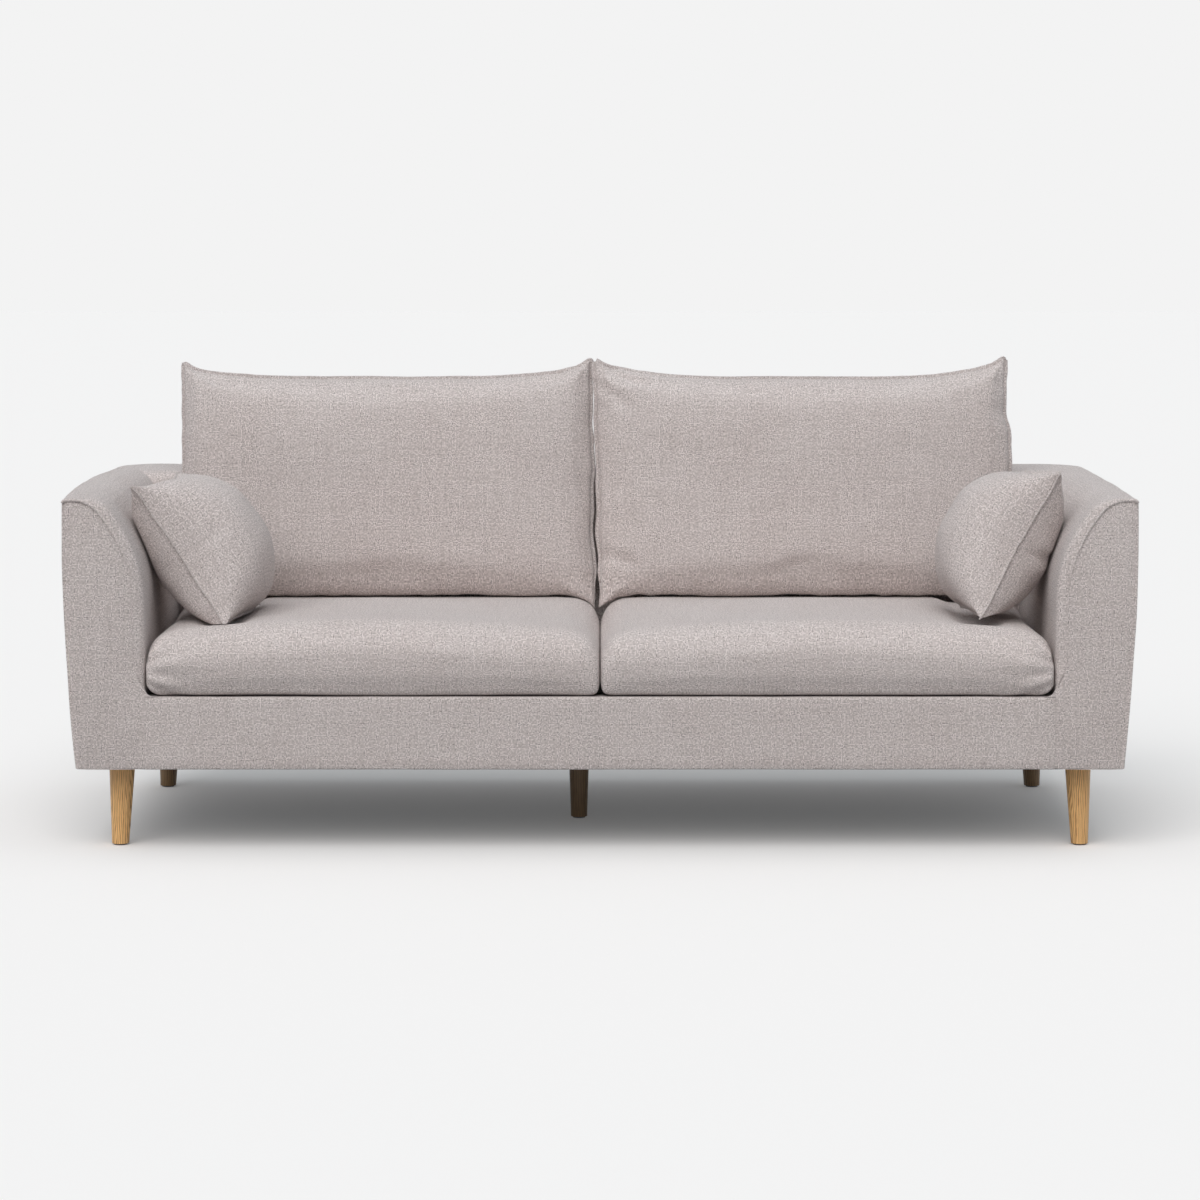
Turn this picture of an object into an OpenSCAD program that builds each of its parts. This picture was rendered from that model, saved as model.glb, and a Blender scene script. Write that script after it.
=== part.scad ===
// Two-seat sofa: timber frame, webbed seat and back, foam and fabric upholstery,
// loose seat and back cushions, two scatter cushions and five turned oak legs.
// The front faces -Y, +X is to the right seen from the front, the floor is Z = 0.

/* [Overall] */
// Width over the fullest part of both arms
sofa_w = 2124; // [1900:2:2400]
// Depth from the front facing to the outside back
sofa_d = 920; // [880:2:980]
// Height of the arms and of the back frame
arm_h = 703; // [660:1:740]
// Height of the underside of the base
base_z = 166; // [140:1:190]
// Height of the deck under the seat cushions
deck_z = 310; // [300:1:330]

/* [Arms] */
// Thickness of an arm at seat height
arm_t = 159; // [150:1:180]
// How far the outer side draws in from its fullest height to the bottom
side_draw = 22; // [10:1:30]
// Distance of the fullest height below the top
bulge_drop = 103; // [60:1:140]
// Radius of the outward curve of the inner face
curve_r = 280; // [240:2:300]
// Slope at which the inner curve turns over, from the vertical
curve_a = 40; // [32:1:44]
// Radius of the turn from the inner face into the top
top_r = 64; // [50:1:80]
// Radius of the outer top edge
edge_r = 7; // [4:0.5:10]
// Radius of the cover's roll round the front edge
roll_r = 22; // [16:1:28]
// Radius of the two rear corners seen from above
corner_r = 100; // [90:2:110]

/* [Upholstery] */
// Thickness of the fabric with its backing
fabric_t = 2; // [1.5:0.1:3]
// Thickness of the padding over timber
pad_t = 12; // [10:0.5:14]
// Diameter of the welt along the top of the arm facing
welt_d = 5; // [4:0.2:6]
// Thickness of the dust cover
dust_t = 1; // [0.8:0.1:1.5]
// Depth of the border's turn-over behind the front edge of the deck
lip_d = 60; // [50:1:70]

/* [Back frame] */
// Depth of the back frame at deck height
back_t = 275; // [260:1:290]
// Lean of the back frame's front face
back_lean = 9; // [7:0.5:11]
// Radius of the top front edge of the back frame
back_r = 45; // [35:1:55]

/* [Timber] */
// Height of the timber above the underside of the base
timber_lift = 9; // [6:0.5:12]
// Thickness of rails
rail_t = 30; // [26:1:32]
// Height of the front, rear and side rails
rail_h = 122; // [116:1:124]
// Thickness of the shaped boards in arms and back
board_t = 24; // [18:1:26]
// Distance of the rear arm boards in front of the padding behind them
rear_board_in = 24; // [16:1:30]
// Width of the rib that is left round a back board's opening
board_rib = 55; // [48:1:64]
// Edge length of the corner blocks
block = 92; // [88:1:96]
// Height of the corner blocks
block_h = 58; // [50:1:70]
// Sideways place of the centre rail and its leg
centre_x = -44; // [-60:1:0]
// Height of the centre rail
centre_rail_h = 62; // [50:1:80]

/* [Webbing] */
// Width of a strap
strap_w = 60; // [50:1:65]
// Thickness of a strap
strap_t = 2.4; // [2:0.1:3]
// Distance of the strap ends inside the rails' outer faces
strap_in = 2; // [1:0.5:6]
// Straps from front to rear in each half of the seat
seat_straps = 7; // [5:1:8]
// Straps from side to side
cross_straps = 4; // [3:1:5]
// Upright straps in the back
back_straps = 10; // [8:1:14]

/* [Legs] */
// Diameter of a leg at the top
leg_top_d = 53; // [48:0.5:56]
// Diameter of a leg at the foot
leg_foot_d = 34; // [30:0.5:38]
// Diameter of the centre leg at the top
centre_leg_d = 45; // [40:0.5:50]
// Outward splay of the corner legs
leg_splay = 2; // [0:0.5:4]
// Distance of the front feet inside the fullest part of the arms
front_foot_in = 97; // [82:1:110]
// Distance of the rear feet inside the fullest part of the arms
rear_foot_in = 110; // [97:1:122]
// Distance of the front feet behind the front facing
front_foot_y = 90; // [80:1:96]
// Distance of the rear feet in front of the outside back
rear_foot_y = 110; // [100:1:115]
// Distance of the centre foot behind the front facing
centre_foot_y = 410; // [380:1:440]
// Diameter of a glide
glide_d = 26; // [20:1:28]
// Thickness of a glide
glide_t = 3; // [2:0.5:4]
// Side of a leg plate
plate_w = 62; // [58:1:66]
// Thickness of a leg plate
plate_t = 2.5; // [2:0.1:3]
// Diameter of a leg bolt
bolt_d = 8; // [6:1:10]
// Length of a leg bolt
bolt_l = 60; // [50:1:64]
// Diameter of a plate screw
screw_d = 4; // [3.5:0.5:5]
// Length of a plate screw
screw_l = 22; // [16:1:30]
// Height of a plate screw's head
screw_head_h = 2; // [1.5:0.1:3]
// Distance of the plate screws from the plate's edges
screw_in = 8; // [7:0.5:9]

/* [Seat cushions] */
// Thickness of a seat cushion
seat_h = 131; // [120:1:150]
// Radius of a seat cushion's corners seen from above
seat_corner_r = 30; // [24:1:60]
// Radius of a seat cushion's upper and lower edges
seat_edge_r = 50; // [40:1:58]

/* [Back cushions] */
// How much narrower a back cushion is than half the seat
back_cushion_less = 18; // [14:1:60]
// Height of a back cushion between its corners
back_cushion_h = 501; // [470:1:520]
// Swell of the front of a back cushion
back_front = 84; // [60:1:90]
// Swell of the rear of a back cushion
back_rear = 46; // [36:1:54]
// Sideways place of the joint between the back cushions
back_joint_x = -13; // [-15:1:15]
// How far the top edge of a back cushion dips between its corners
back_dip = 28; // [0:1:40]
// How far the side edges of a back cushion bow in between its corners
back_side_bow = 6; // [0:1:12]

/* [Scatter cushions] */
// Edge length of a scatter cushion
pillow_w = 315; // [300:1:360]
// Swell of the upper face
pillow_inner = 132; // [100:1:150]
// Swell of the lower face
pillow_outer = 72; // [50:1:95]
// Lean of the left scatter cushion from the vertical
left_tilt = 33; // [28:1:38]
// Lean of the right scatter cushion from the vertical
right_tilt = 29; // [24:1:34]
// Turn of the scatter cushions towards the middle
pillow_yaw = 8; // [5:1:15]
// Distance of the scatter cushions in front of the back cushions
pillow_forward = 120; // [0:1:150]
// How far the edges of a scatter cushion bow in between its corners
pillow_bow = 10; // [0:1:16]

/* [Clearances] */
// Gap between loose cushions and what they lie on
rest_gap = 0.6; // [0.4:0.1:1.5]
// Gap between cushions and arms, and between neighbours
side_gap = 3; // [2:0.5:6]
// Gap between a cover and its filling
fill_gap = 0.4; // [0.2:0.1:1]
// Gap between fixed pieces that lie side by side
fit_gap = 0.2; // [0.1:0.1:0.5]
// Clearance round the legs in the dust cover
leg_room = 1.5; // [1:0.1:3]
// Radial clearance of bolts and screws in plates
hole_gap = 0.3; // [0.2:0.1:0.6]

/* [Hidden] */

front_y = -sofa_d / 2;
rear_y = sofa_d / 2;
half_w = sofa_w / 2;
inner_x = half_w - arm_t;
curve_z = arm_h - curve_r * sin(curve_a) - top_r * (1 - sin(curve_a));
bulge_z = arm_h - bulge_drop;
side_r = (pow(bulge_z - base_z, 2) + pow(side_draw, 2)) / (2 * side_draw);
timber_z = base_z + timber_lift;
rail_top = timber_z + rail_h;
rail_y = front_y + fabric_t + pad_t;
screw_spot = plate_w / 2 - screw_in;
back_foot_y = rear_y - back_t;
seat_top = deck_z + rest_gap + seat_h;
loft_over = 1;
leg_over = 3;
swell_flat = 2.6;
swell_round = 0.62;
least_corner_r = 6;
welt_start = 4;
welt_end = 13;
welt_sides = 8;
side_steps = 8;
fabric_colour = [0.72, 0.68, 0.66];
foam_colour = [0.93, 0.9, 0.8];
timber_colour = [0.82, 0.69, 0.5];
oak_colour = [0.78, 0.6, 0.4];
steel_colour = [0.62, 0.62, 0.64];

// Half width of the sofa's outer side at height z
function outer_x(z) = half_w - side_r + sqrt(side_r * side_r - pow(z - bulge_z, 2));

// Inner face of an arm at height z, below the turn into the top
function arm_face_x(z) =
    z <= curve_z
    ? inner_x
    : inner_x + curve_r - sqrt(pow(curve_r, 2) - pow(min(z - curve_z, curve_r), 2));

// Section of an arm in X and Z, inset all round by i and on the inner side by a further k
function arm_points(i, k, foot) = let (
    cx = inner_x + k + curve_r,
    tx = cx - (curve_r - top_r) * cos(curve_a),
    tz = curve_z + (curve_r - top_r) * sin(curve_a),
    ex = outer_x(arm_h) - edge_r,
    ez = arm_h - edge_r
) concat(
    [[inner_x + k + i, foot]],
    [for (a = [0:curve_a / 5:curve_a - 0.01])
        [cx - (curve_r - i) * cos(a), curve_z + (curve_r - i) * sin(a)]],
    [for (n = [0:6]) let (a = curve_a + n * (90 - curve_a) / 6)
        [tx - (top_r - i) * cos(a), tz + (top_r - i) * sin(a)]],
    [for (a = [90:-45:0]) [ex + (edge_r - i) * cos(a), ez + (edge_r - i) * sin(a)]],
    [for (n = [1:side_steps]) let (z = ez + (foot - ez) * n / side_steps) [outer_x(z) - i, z]]
);

// One turn of the arm's section at angle a of the front roll
function arm_ring(i, a, foot) = let (y = front_y + roll_r - (roll_r - i) * cos(a))
    [for (p = arm_points(i, (roll_r - i) * (1 - sin(a)), foot)) [p[0], y, p[1]]];

function moved(ring, y) = [for (p = ring) [p[0], y, p[2]]];

// Solid through rings that all have the same number of points
module loft(rings) {
    n = len(rings[0]);
    last = len(rings) - 1;
    points = [for (ring = rings) each ring];
    sides = [for (k = [0:last - 1]) for (j = [0:n - 1]) let (
        a = k * n + j,
        b = k * n + (j + 1) % n
    ) each [[a, a + n, b], [b, a + n, b + n]]];
    ends = [[for (j = [0:n - 1]) j], [for (j = [n - 1:-1:0]) last * n + j]];
    polyhedron(points, concat(sides, ends), convexity = 4);
}

module mirrored(side) {
    mirror([side < 0 ? 1 : 0, 0, 0])
        children();
}

// Plan of the whole sofa with its two round rear corners, inset by i
module plan(i) {
    r = corner_r - i;
    translate([-half_w + i, front_y - loft_over])
        square([sofa_w - 2 * i, sofa_d + loft_over - corner_r]);
    translate([-half_w + corner_r, front_y - loft_over])
        square([sofa_w - 2 * corner_r, sofa_d + loft_over - i]);
    for (s = [-1, 1])
        translate([s * (half_w - corner_r), rear_y - corner_r])
            circle(r, $fn = 96);
}

// Envelope of the right arm, inset by i
module arm_solid(i, foot) {
    roll = [for (a = [0:22.5:90]) arm_ring(i, a, foot)];
    intersection() {
        loft(concat(roll, [moved(arm_ring(i, 90, foot), rear_y + loft_over)]));
        translate([0, 0, foot - loft_over])
            linear_extrude(arm_h)
                plan(i);
    }
}

// Space that the arm's fabric leaves, open at the facing and underneath
module arm_inside(i) {
    foot = base_z - loft_over;
    arm_solid(i, foot);
    rotate([90, 0, 0])
        translate([0, 0, -front_y - i - loft_over])
            linear_extrude(i + 2 * loft_over)
                polygon(arm_points(i, roll_r - i + fit_gap, foot));
}

// Hollow that holds the boards of an arm
module arm_hollow(gap) {
    x0 = inner_x + fabric_t + pad_t + gap;
    x1 = outer_x(base_z) - fabric_t - pad_t / 2 - gap;
    z1 = arm_h - fabric_t - pad_t - gap;
    lean_x = arm_face_x(z1 - top_r / 3) + fabric_t + 2 * pad_t + gap;
    polygon([[x0, base_z - loft_over], [x0, curve_z], [lean_x, z1], [x1, z1], [x1, base_z - loft_over]]);
}

// Front face of the back frame at height z
function back_face_y(z) = back_foot_y + (z - deck_z) * tan(back_lean);

// Section of the back frame in Y and Z, inset by i, above height foot
module back_section(i, foot) {
    cz = arm_h - back_r;
    cy = back_face_y(cz) + back_r / cos(back_lean);
    top = [for (a = [back_lean:(90 - back_lean) / 6:90.01]) [
        cy - (back_r - i) * cos(a),
        cz + (back_r - i) * sin(a)
    ]];
    polygon(concat(
        [[back_face_y(foot) + i / cos(back_lean), foot]],
        top,
        [
            [rear_y - edge_r, arm_h - i],
            [rear_y - edge_r + (edge_r - i) * sin(45), arm_h - edge_r + (edge_r - i) * sin(45)],
            [rear_y - i, arm_h - edge_r],
            [rear_y - i, foot]
        ]
    ));
}

// Runs a section in Y and Z along X from x0 to x1
module along_x(x0, x1) {
    translate([x0, 0, 0])
        rotate([90, 0, 90])
            linear_extrude(x1 - x0)
                children();
}

module box(x0, y0, z0, x1, y1, z1) {
    translate([x0, y0, z0])
        cube([x1 - x0, y1 - y0, z1 - z0]);
}

// The back frame runs into the arms, short of their outer sides
back_end_x = half_w - side_draw - pad_t;

// Back frame between the arms, inset by i
module back_solid(i, foot) {
    difference() {
        intersection() {
            along_x(-back_end_x, back_end_x)
                back_section(i, foot);
            translate([0, 0, foot - loft_over])
                linear_extrude(arm_h)
                    plan(i);
        }
        for (s = [-1, 1])
            mirrored(s)
                arm_solid(0, foot - loft_over);
    }
}

// --- Timber ---

board_x = inner_x + fabric_t + pad_t;
rail_end = board_x - fit_gap;
front_rail_y1 = rail_y + rail_t;
rear_rail_y0 = rear_y - fabric_t - pad_t - rail_t;
side_rail_x = board_x - rail_t;
rail_seat_y = back_foot_y + pad_t + fabric_t;

module front_rail() {
    color(timber_colour)
        box(-rail_end, rail_y, timber_z, rail_end, front_rail_y1, rail_top);
}

module rear_rail() {
    color(timber_colour)
        box(-rail_end, rear_rail_y0, timber_z, rail_end, rear_rail_y0 + rail_t, rail_top);
}

module seat_rear_rail() {
    color(timber_colour)
        box(
            -side_rail_x + fit_gap, rail_seat_y, timber_z,
            side_rail_x - fit_gap, rail_seat_y + rail_t, rail_top
        );
}

module side_rail(side) {
    color(timber_colour)
        mirrored(side)
            box(side_rail_x, front_rail_y1, timber_z, board_x, rear_rail_y0, rail_top);
}

module side_rail_left() {
    side_rail(-1);
}

module side_rail_right() {
    side_rail(1);
}

module centre_rail() {
    color(timber_colour)
        difference() {
            box(
                centre_x - rail_t, front_rail_y1, timber_z,
                centre_x + rail_t, rail_seat_y, timber_z + centre_rail_h
            );
            at_leg(4)
                fasteners(fit_gap / 2);
        }
}

module corner_blocks() {
    color(timber_colour)
        for (n = [0:3])
            difference() {
                mirrored(leg_side(n))
                    box(
                        board_x + fit_gap, block_y(n), timber_z,
                        board_x + block, block_y(n) + block, timber_z + block_h
                    );
                at_leg(n)
                    fasteners(fit_gap / 2);
            }
}

// Shaped plywood board in an arm with its front face at y
module arm_board(side, y) {
    color(timber_colour)
        mirrored(side)
            rotate([90, 0, 0])
                translate([0, 0, -y - board_t])
                    linear_extrude(board_t)
                        intersection() {
                            arm_hollow(fit_gap);
                            translate([0, timber_z])
                                square([half_w, arm_h]);
                        }
}

front_board_y = rail_y;
rear_board_y = rear_y - fabric_t - pad_t - board_t - rear_board_in;

module arm_front_board_left() {
    arm_board(-1, front_board_y);
}

module arm_front_board_right() {
    arm_board(1, front_board_y);
}

module arm_rear_board_left() {
    arm_board(-1, rear_board_y);
}

module arm_rear_board_right() {
    arm_board(1, rear_board_y);
}

module arm_top_rail(side) {
    z1 = arm_h - fabric_t - pad_t - fit_gap;
    x1 = outer_x(base_z) - fabric_t - pad_t / 2 - fit_gap;
    color(timber_colour)
        mirrored(side)
            box(
                x1 - rail_t, front_board_y + board_t + fit_gap, z1 - 2 * rail_t,
                x1, rear_board_y - fit_gap, z1 - rail_t / 2
            );
}

module arm_top_rail_left() {
    arm_top_rail(-1);
}

module arm_top_rail_right() {
    arm_top_rail(1);
}

top_rail_h = 2 * rail_t;
top_rail_z = arm_h - fabric_t - pad_t - fit_gap - top_rail_h;
top_rail_y = back_face_y(arm_h) + fabric_t + pad_t + back_r / 2;

// Shaped upright board of the back frame, centred on x
module back_board(x) {
    color(timber_colour)
        difference() {
            along_x(x - board_t / 2, x + board_t / 2)
                intersection() {
                    back_section(fabric_t + pad_t + fit_gap, rail_top + fit_gap);
                    translate([0, rail_top + fit_gap])
                        square([rear_rail_y0 + rail_t, top_rail_z + top_rail_h - rail_top - fit_gap]);
                }
            along_x(x - board_t, x + board_t)
                offset(delta = -board_rib)
                    back_section(0, rail_top);
            box(
                x - board_t, top_rail_y - fit_gap, top_rail_z - fit_gap,
                x + board_t, top_rail_y + rail_t + fit_gap, arm_h
            );
        }
}

back_board_x = inner_x - board_t;

module back_board_left() {
    back_board(-back_board_x);
}

module back_board_centre() {
    back_board(0);
}

module back_board_right() {
    back_board(back_board_x);
}

module back_top_rail() {
    color(timber_colour)
        box(
            -back_board_x - board_t / 2, top_rail_y, top_rail_z,
            back_board_x + board_t / 2, top_rail_y + rail_t, top_rail_z + top_rail_h
        );
}

// --- Webbing and cloths ---

module seat_webbing() {
    pitch = side_rail_x / seat_straps;
    color("dimgray")
        for (s = [-1, 1])
            for (n = [0:seat_straps - 1])
                translate([s * (n + 0.5) * pitch - strap_w / 2, rail_y + strap_in, rail_top])
                    cube([strap_w, rail_seat_y + rail_t - rail_y - 2 * strap_in, strap_t]);
}

module seat_cross_webbing() {
    run = rail_seat_y - front_rail_y1;
    color("dimgray")
        for (n = [1:cross_straps])
            translate([
                -board_x + strap_in,
                front_rail_y1 + run * n / (cross_straps + 1) - strap_w / 2,
                rail_top + strap_t + fit_gap
            ])
                cube([2 * (board_x - strap_in), strap_w, strap_t]);
}

module back_webbing() {
    pitch = 2 * (back_board_x - board_t) / back_straps;
    z0 = rail_top + strap_t + 2 * fit_gap;
    y = back_face_y(z0) + (fabric_t + pad_t) / cos(back_lean);
    run = (top_rail_z - z0) / cos(back_lean) - strap_in;
    color("dimgray")
        for (n = [0:back_straps - 1])
            translate([(n + 0.5 - back_straps / 2) * pitch, y, z0])
                rotate([-back_lean, 0, 0])
                    translate([-strap_w / 2, -strap_t - fit_gap, 0])
                        cube([strap_w, strap_t, run]);
}

module deck_cloth() {
    color("gray")
        box(
            -inner_x + side_gap, front_y + fabric_t + lip_d + fit_gap, deck_z - fabric_t,
            inner_x - side_gap, back_foot_y - side_gap, deck_z
        );
}

module dust_cover() {
    edge = outer_x(base_z) - fabric_t - dust_t;
    color("black")
        difference() {
            translate([0, 0, base_z])
                linear_extrude(dust_t)
                    intersection() {
                        plan(fabric_t + dust_t);
                        translate([-edge, front_y + fabric_t + dust_t])
                            square([2 * edge, sofa_d]);
                    }
            for (n = [0:4])
                translate([leg_x(n), leg_y(n), base_z - loft_over])
                    cylinder(d = leg_d(n) + 2 * leg_room, h = dust_t + 2 * loft_over, $fn = 64);
        }
}

// --- Padding ---

module arm_padding(side) {
    i = fabric_t + fit_gap;
    color(foam_colour)
        mirrored(side)
            difference() {
                arm_solid(i, base_z + dust_t + fit_gap);
                translate([0, rear_board_y + board_t + fit_gap, 0])
                    rotate([90, 0, 0])
                        linear_extrude(rear_board_y + board_t + 2 * fit_gap - rail_y)
                            arm_hollow(0);
                box(
                    0, front_y - loft_over, base_z,
                    board_x + fit_gap, rear_y + loft_over, deck_z - fabric_t - fit_gap
                );
                welt_groove();
            }
}

module arm_padding_left() {
    arm_padding(-1);
}

module arm_padding_right() {
    arm_padding(1);
}

module back_padding() {
    i = fabric_t + fit_gap;
    color(foam_colour)
        difference() {
            back_solid(i, deck_z + fit_gap);
            along_x(-inner_x, inner_x)
                intersection() {
                    back_section(fabric_t + pad_t - strap_t - 2 * fit_gap, deck_z - loft_over);
                    translate([0, deck_z - loft_over])
                        square([rear_y, top_rail_z + top_rail_h + fit_gap - deck_z + loft_over]);
                }
        }
}

module front_padding() {
    end = inner_x - fit_gap;
    y0 = front_y + fabric_t + fit_gap;
    z1 = deck_z - fabric_t - fit_gap;
    color(foam_colour)
        difference() {
            box(-end, y0, base_z + dust_t + fit_gap, end, y0 + lip_d - fabric_t, z1);
            box(
                -end - loft_over, rail_y - fit_gap, base_z,
                end + loft_over, y0 + lip_d, rail_top + 2 * strap_t + 3 * fit_gap
            );
        }
}

// --- Fabric ---

facing_split = deck_z - fit_gap;
panel_split_x = half_w - arm_t / 4;

module arm_skin(i) {
    difference() {
        arm_solid(0, base_z);
        arm_inside(i);
        box(
            0, front_y - loft_over, base_z - loft_over,
            inner_x + roll_r + fit_gap, rear_y - fabric_t - dust_t / 2, facing_split
        );
    }
}

module arm_cover(side) {
    color(fabric_colour)
        mirrored(side)
            difference() {
                arm_skin(fabric_t);
                box(
                    panel_split_x, front_y - loft_over, base_z - loft_over,
                    half_w + loft_over, rear_y + loft_over, arm_h - edge_r
                );
                welt_groove();
            }
}

module arm_outer_panel(side) {
    color(fabric_colour)
        mirrored(side)
            difference() {
                intersection() {
                    arm_skin(fabric_t);
                    box(
                        panel_split_x + fit_gap, front_y - loft_over, base_z - loft_over,
                        half_w + loft_over, rear_y + loft_over, arm_h - edge_r - fit_gap
                    );
                }
                welt_groove();
            }
}

module arm_facing(side) {
    color(fabric_colour)
        mirrored(side)
            difference() {
                rotate([90, 0, 0])
                    translate([0, 0, -front_y - fabric_t])
                        linear_extrude(fabric_t)
                            union() {
                                intersection() {
                                    polygon(arm_points(fabric_t + fit_gap, roll_r - fabric_t, base_z));
                                    translate([0, base_z])
                                        square([half_w, arm_h]);
                                }
                                translate([inner_x + fit_gap, base_z])
                                    square([roll_r * 2, facing_split - fit_gap - base_z]);
                            }
                welt_groove();
            }
}

// Welt of radius r that follows the top of the facing, in the right arm
module welt_cord(r, over) {
    edge = arm_points(fabric_t, roll_r - fabric_t, base_z);
    last = welt_end - welt_start;
    loft([for (k = [0:last]) let (
        n = welt_start + k,
        run = edge[min(n + 1, welt_end)] - edge[max(n - 1, welt_start)],
        t = run / norm(run),
        p = edge[n] + t * (k == 0 ? -over : (k == last ? over : 0))
    ) [for (b = [0:welt_sides - 1]) let (
        a = 360 * (b + 0.5) / welt_sides,
        out = r * cos(a)
    ) [p[0] - t[1] * out, front_y + welt_d / 2 - r * sin(a), p[1] + t[0] * out]]]);
}

module arm_welt(side) {
    color(fabric_colour)
        mirrored(side)
            welt_cord(welt_d / 2, 0);
}

// Room for the welt in the pieces round it
module welt_groove() {
    welt_cord(welt_d / 2 + fit_gap, fit_gap);
}

module arm_cover_left() {
    arm_cover(-1);
}

module arm_cover_right() {
    arm_cover(1);
}

module arm_facing_left() {
    arm_facing(-1);
}

module arm_facing_right() {
    arm_facing(1);
}

module arm_outer_panel_left() {
    arm_outer_panel(-1);
}

module arm_outer_panel_right() {
    arm_outer_panel(1);
}

module arm_welt_left() {
    arm_welt(-1);
}

module arm_welt_right() {
    arm_welt(1);
}

// Fabric over the front and the top of the back frame
module back_cover() {
    color(fabric_colour)
        difference() {
            back_solid(0, deck_z);
            along_x(-half_w, half_w)
                back_section(fabric_t, deck_z - loft_over);
            box(
                -half_w, rear_y - edge_r, deck_z - loft_over,
                half_w, rear_y + loft_over, arm_h - edge_r
            );
        }
}

// Fabric over the outside of the back
module back_outer_panel() {
    color(fabric_colour)
        intersection() {
            back_solid(0, base_z);
            box(
                -back_end_x, rear_y - fabric_t, base_z,
                back_end_x, rear_y + loft_over, arm_h - edge_r - fit_gap
            );
        }
}

module front_border() {
    end = inner_x - fit_gap;
    color(fabric_colour)
        difference() {
            box(-end, front_y, base_z, end, front_y + fabric_t + lip_d, deck_z);
            box(
                -end - loft_over, front_y + fabric_t, base_z - loft_over,
                end + loft_over, rear_y, deck_z - fabric_t
            );
        }
}

// --- Legs ---

// Legs 0 and 1 are in front, 2 and 3 at the rear, 4 under the centre rail
function leg_side(n) = n == 4 ? 0 : (n % 2 == 0 ? -1 : 1);
leg_top_z = timber_z - plate_t;
spread = leg_top_z * tan(leg_splay);
function foot_x(n) = half_w - (n < 2 ? front_foot_in : rear_foot_in);
function leg_x(n) = n == 4 ? centre_x : leg_side(n) * (foot_x(n) - spread);
function leg_y(n) = n < 2
    ? front_y + front_foot_y
    : (n < 4 ? rear_y - rear_foot_y : front_y + centre_foot_y);
function leg_d(n) = n == 4 ? centre_leg_d : leg_top_d;
function block_y(n) = n < 2 ? front_board_y + board_t + fit_gap : rear_board_y - fit_gap - block;

// Puts children at the top of leg n, with Z up the leg
module at_leg(n) {
    translate([leg_x(n), leg_y(n), leg_top_z])
        rotate([0, -leg_side(n) * leg_splay, 0])
            children();
}

// Bolt and screws of one plate, widened by gap
module fasteners(gap) {
    translate([0, 0, -bolt_l / 2])
        cylinder(d = bolt_d + 2 * gap, h = bolt_l, $fn = 32);
    for (x = [-1, 1])
        for (y = [-1, 1])
            translate([x * screw_spot, y * screw_spot, -screw_head_h])
                cylinder(d = screw_d + 2 * gap, h = screw_l + screw_head_h + gap, $fn = 24);
}

module leg(n) {
    length = leg_top_z / cos(leg_splay);
    over = (leg_d(n) - leg_foot_d) * leg_over / length;
    color(oak_colour)
        difference() {
            intersection() {
                at_leg(n)
                    translate([0, 0, -length - leg_over])
                        cylinder(
                            d1 = leg_foot_d - over, d2 = leg_d(n) + over,
                            h = length + 2 * leg_over, $fn = 96
                        );
                box(-half_w, front_y, glide_t, half_w, rear_y, leg_top_z);
            }
            at_leg(n)
                translate([0, 0, -bolt_l / 2])
                    cylinder(d = bolt_d + fit_gap, h = bolt_l, $fn = 32);
        }
}

module front_leg_left() {
    leg(0);
}

module front_leg_right() {
    leg(1);
}

module rear_leg_left() {
    leg(2);
}

module rear_leg_right() {
    leg(3);
}

module centre_leg() {
    leg(4);
}

module leg_glides() {
    color("dimgray")
        for (n = [0:4])
            translate([leg_x(n) + leg_side(n) * spread, leg_y(n), 0])
                cylinder(d = glide_d, h = glide_t, $fn = 48);
}

module leg_plates() {
    color(steel_colour)
        for (n = [0:4])
            difference() {
                translate([leg_x(n) - plate_w / 2, leg_y(n) - plate_w / 2, leg_top_z])
                    cube([plate_w, plate_w, plate_t]);
                at_leg(n)
                    fasteners(hole_gap);
            }
}

module leg_bolts() {
    color(steel_colour)
        for (n = [0:4])
            at_leg(n)
                translate([0, 0, -bolt_l / 2])
                    cylinder(d = bolt_d, h = bolt_l, $fn = 32);
}

module plate_screws() {
    color(steel_colour)
        for (n = [0:4])
            at_leg(n)
                for (x = [-1, 1])
                    for (y = [-1, 1])
                        translate([x * screw_spot, y * screw_spot, -screw_head_h])
                            cylinder(d = screw_d, h = screw_l + screw_head_h, $fn = 24);
}

// --- Seat cushions ---

// Round-cornered rectangle in plan from (x0, y0) to (x1, y1), at height z
function slab_ring(x0, y0, x1, y1, r, z) = [
    for (c = [[x1, y0, -90], [x1, y1, 0], [x0, y1, 90], [x0, y0, 180]])
        for (n = [0:3]) let (
            a = c[2] + n * 30,
            cx = c[0] == x1 ? x1 - r : x0 + r,
            cy = c[1] == y1 ? y1 - r : y0 + r
        ) [cx + r * cos(a), cy + r * sin(a), z]
];

// Box cushion with rounded edges, inset by i
module slab(x0, y0, z0, x1, y1, z1, i) {
    r = seat_edge_r - i;
    low = [for (a = [0:22.5:90]) [r * (1 - sin(a)), z0 + i + r * (1 - cos(a))]];
    high = [for (a = [90:-22.5:0]) [r * (1 - sin(a)), z1 - i - r * (1 - cos(a))]];
    rings = [for (p = concat(low, high)) let (k = i + p[0] / 2)
        slab_ring(x0 + k, y0 + k, x1 - k, y1 - k, max(seat_corner_r - k / 2, least_corner_r), p[1])];
    loft(rings);
}

module seat_slab(side, i) {
    mirrored(side)
        slab(
            side_gap / 2, front_y + side_gap, deck_z + rest_gap,
            inner_x - side_gap, back_foot_y - side_gap, seat_top, i
        );
}

module seat_cushion_cover(side) {
    color(fabric_colour)
        difference() {
            seat_slab(side, 0);
            seat_slab(side, fabric_t);
        }
}

module seat_cushion_foam(side) {
    color(foam_colour)
        seat_slab(side, fabric_t + fill_gap);
}

module seat_cushion_cover_left() {
    seat_cushion_cover(-1);
}

module seat_cushion_cover_right() {
    seat_cushion_cover(1);
}

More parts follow.
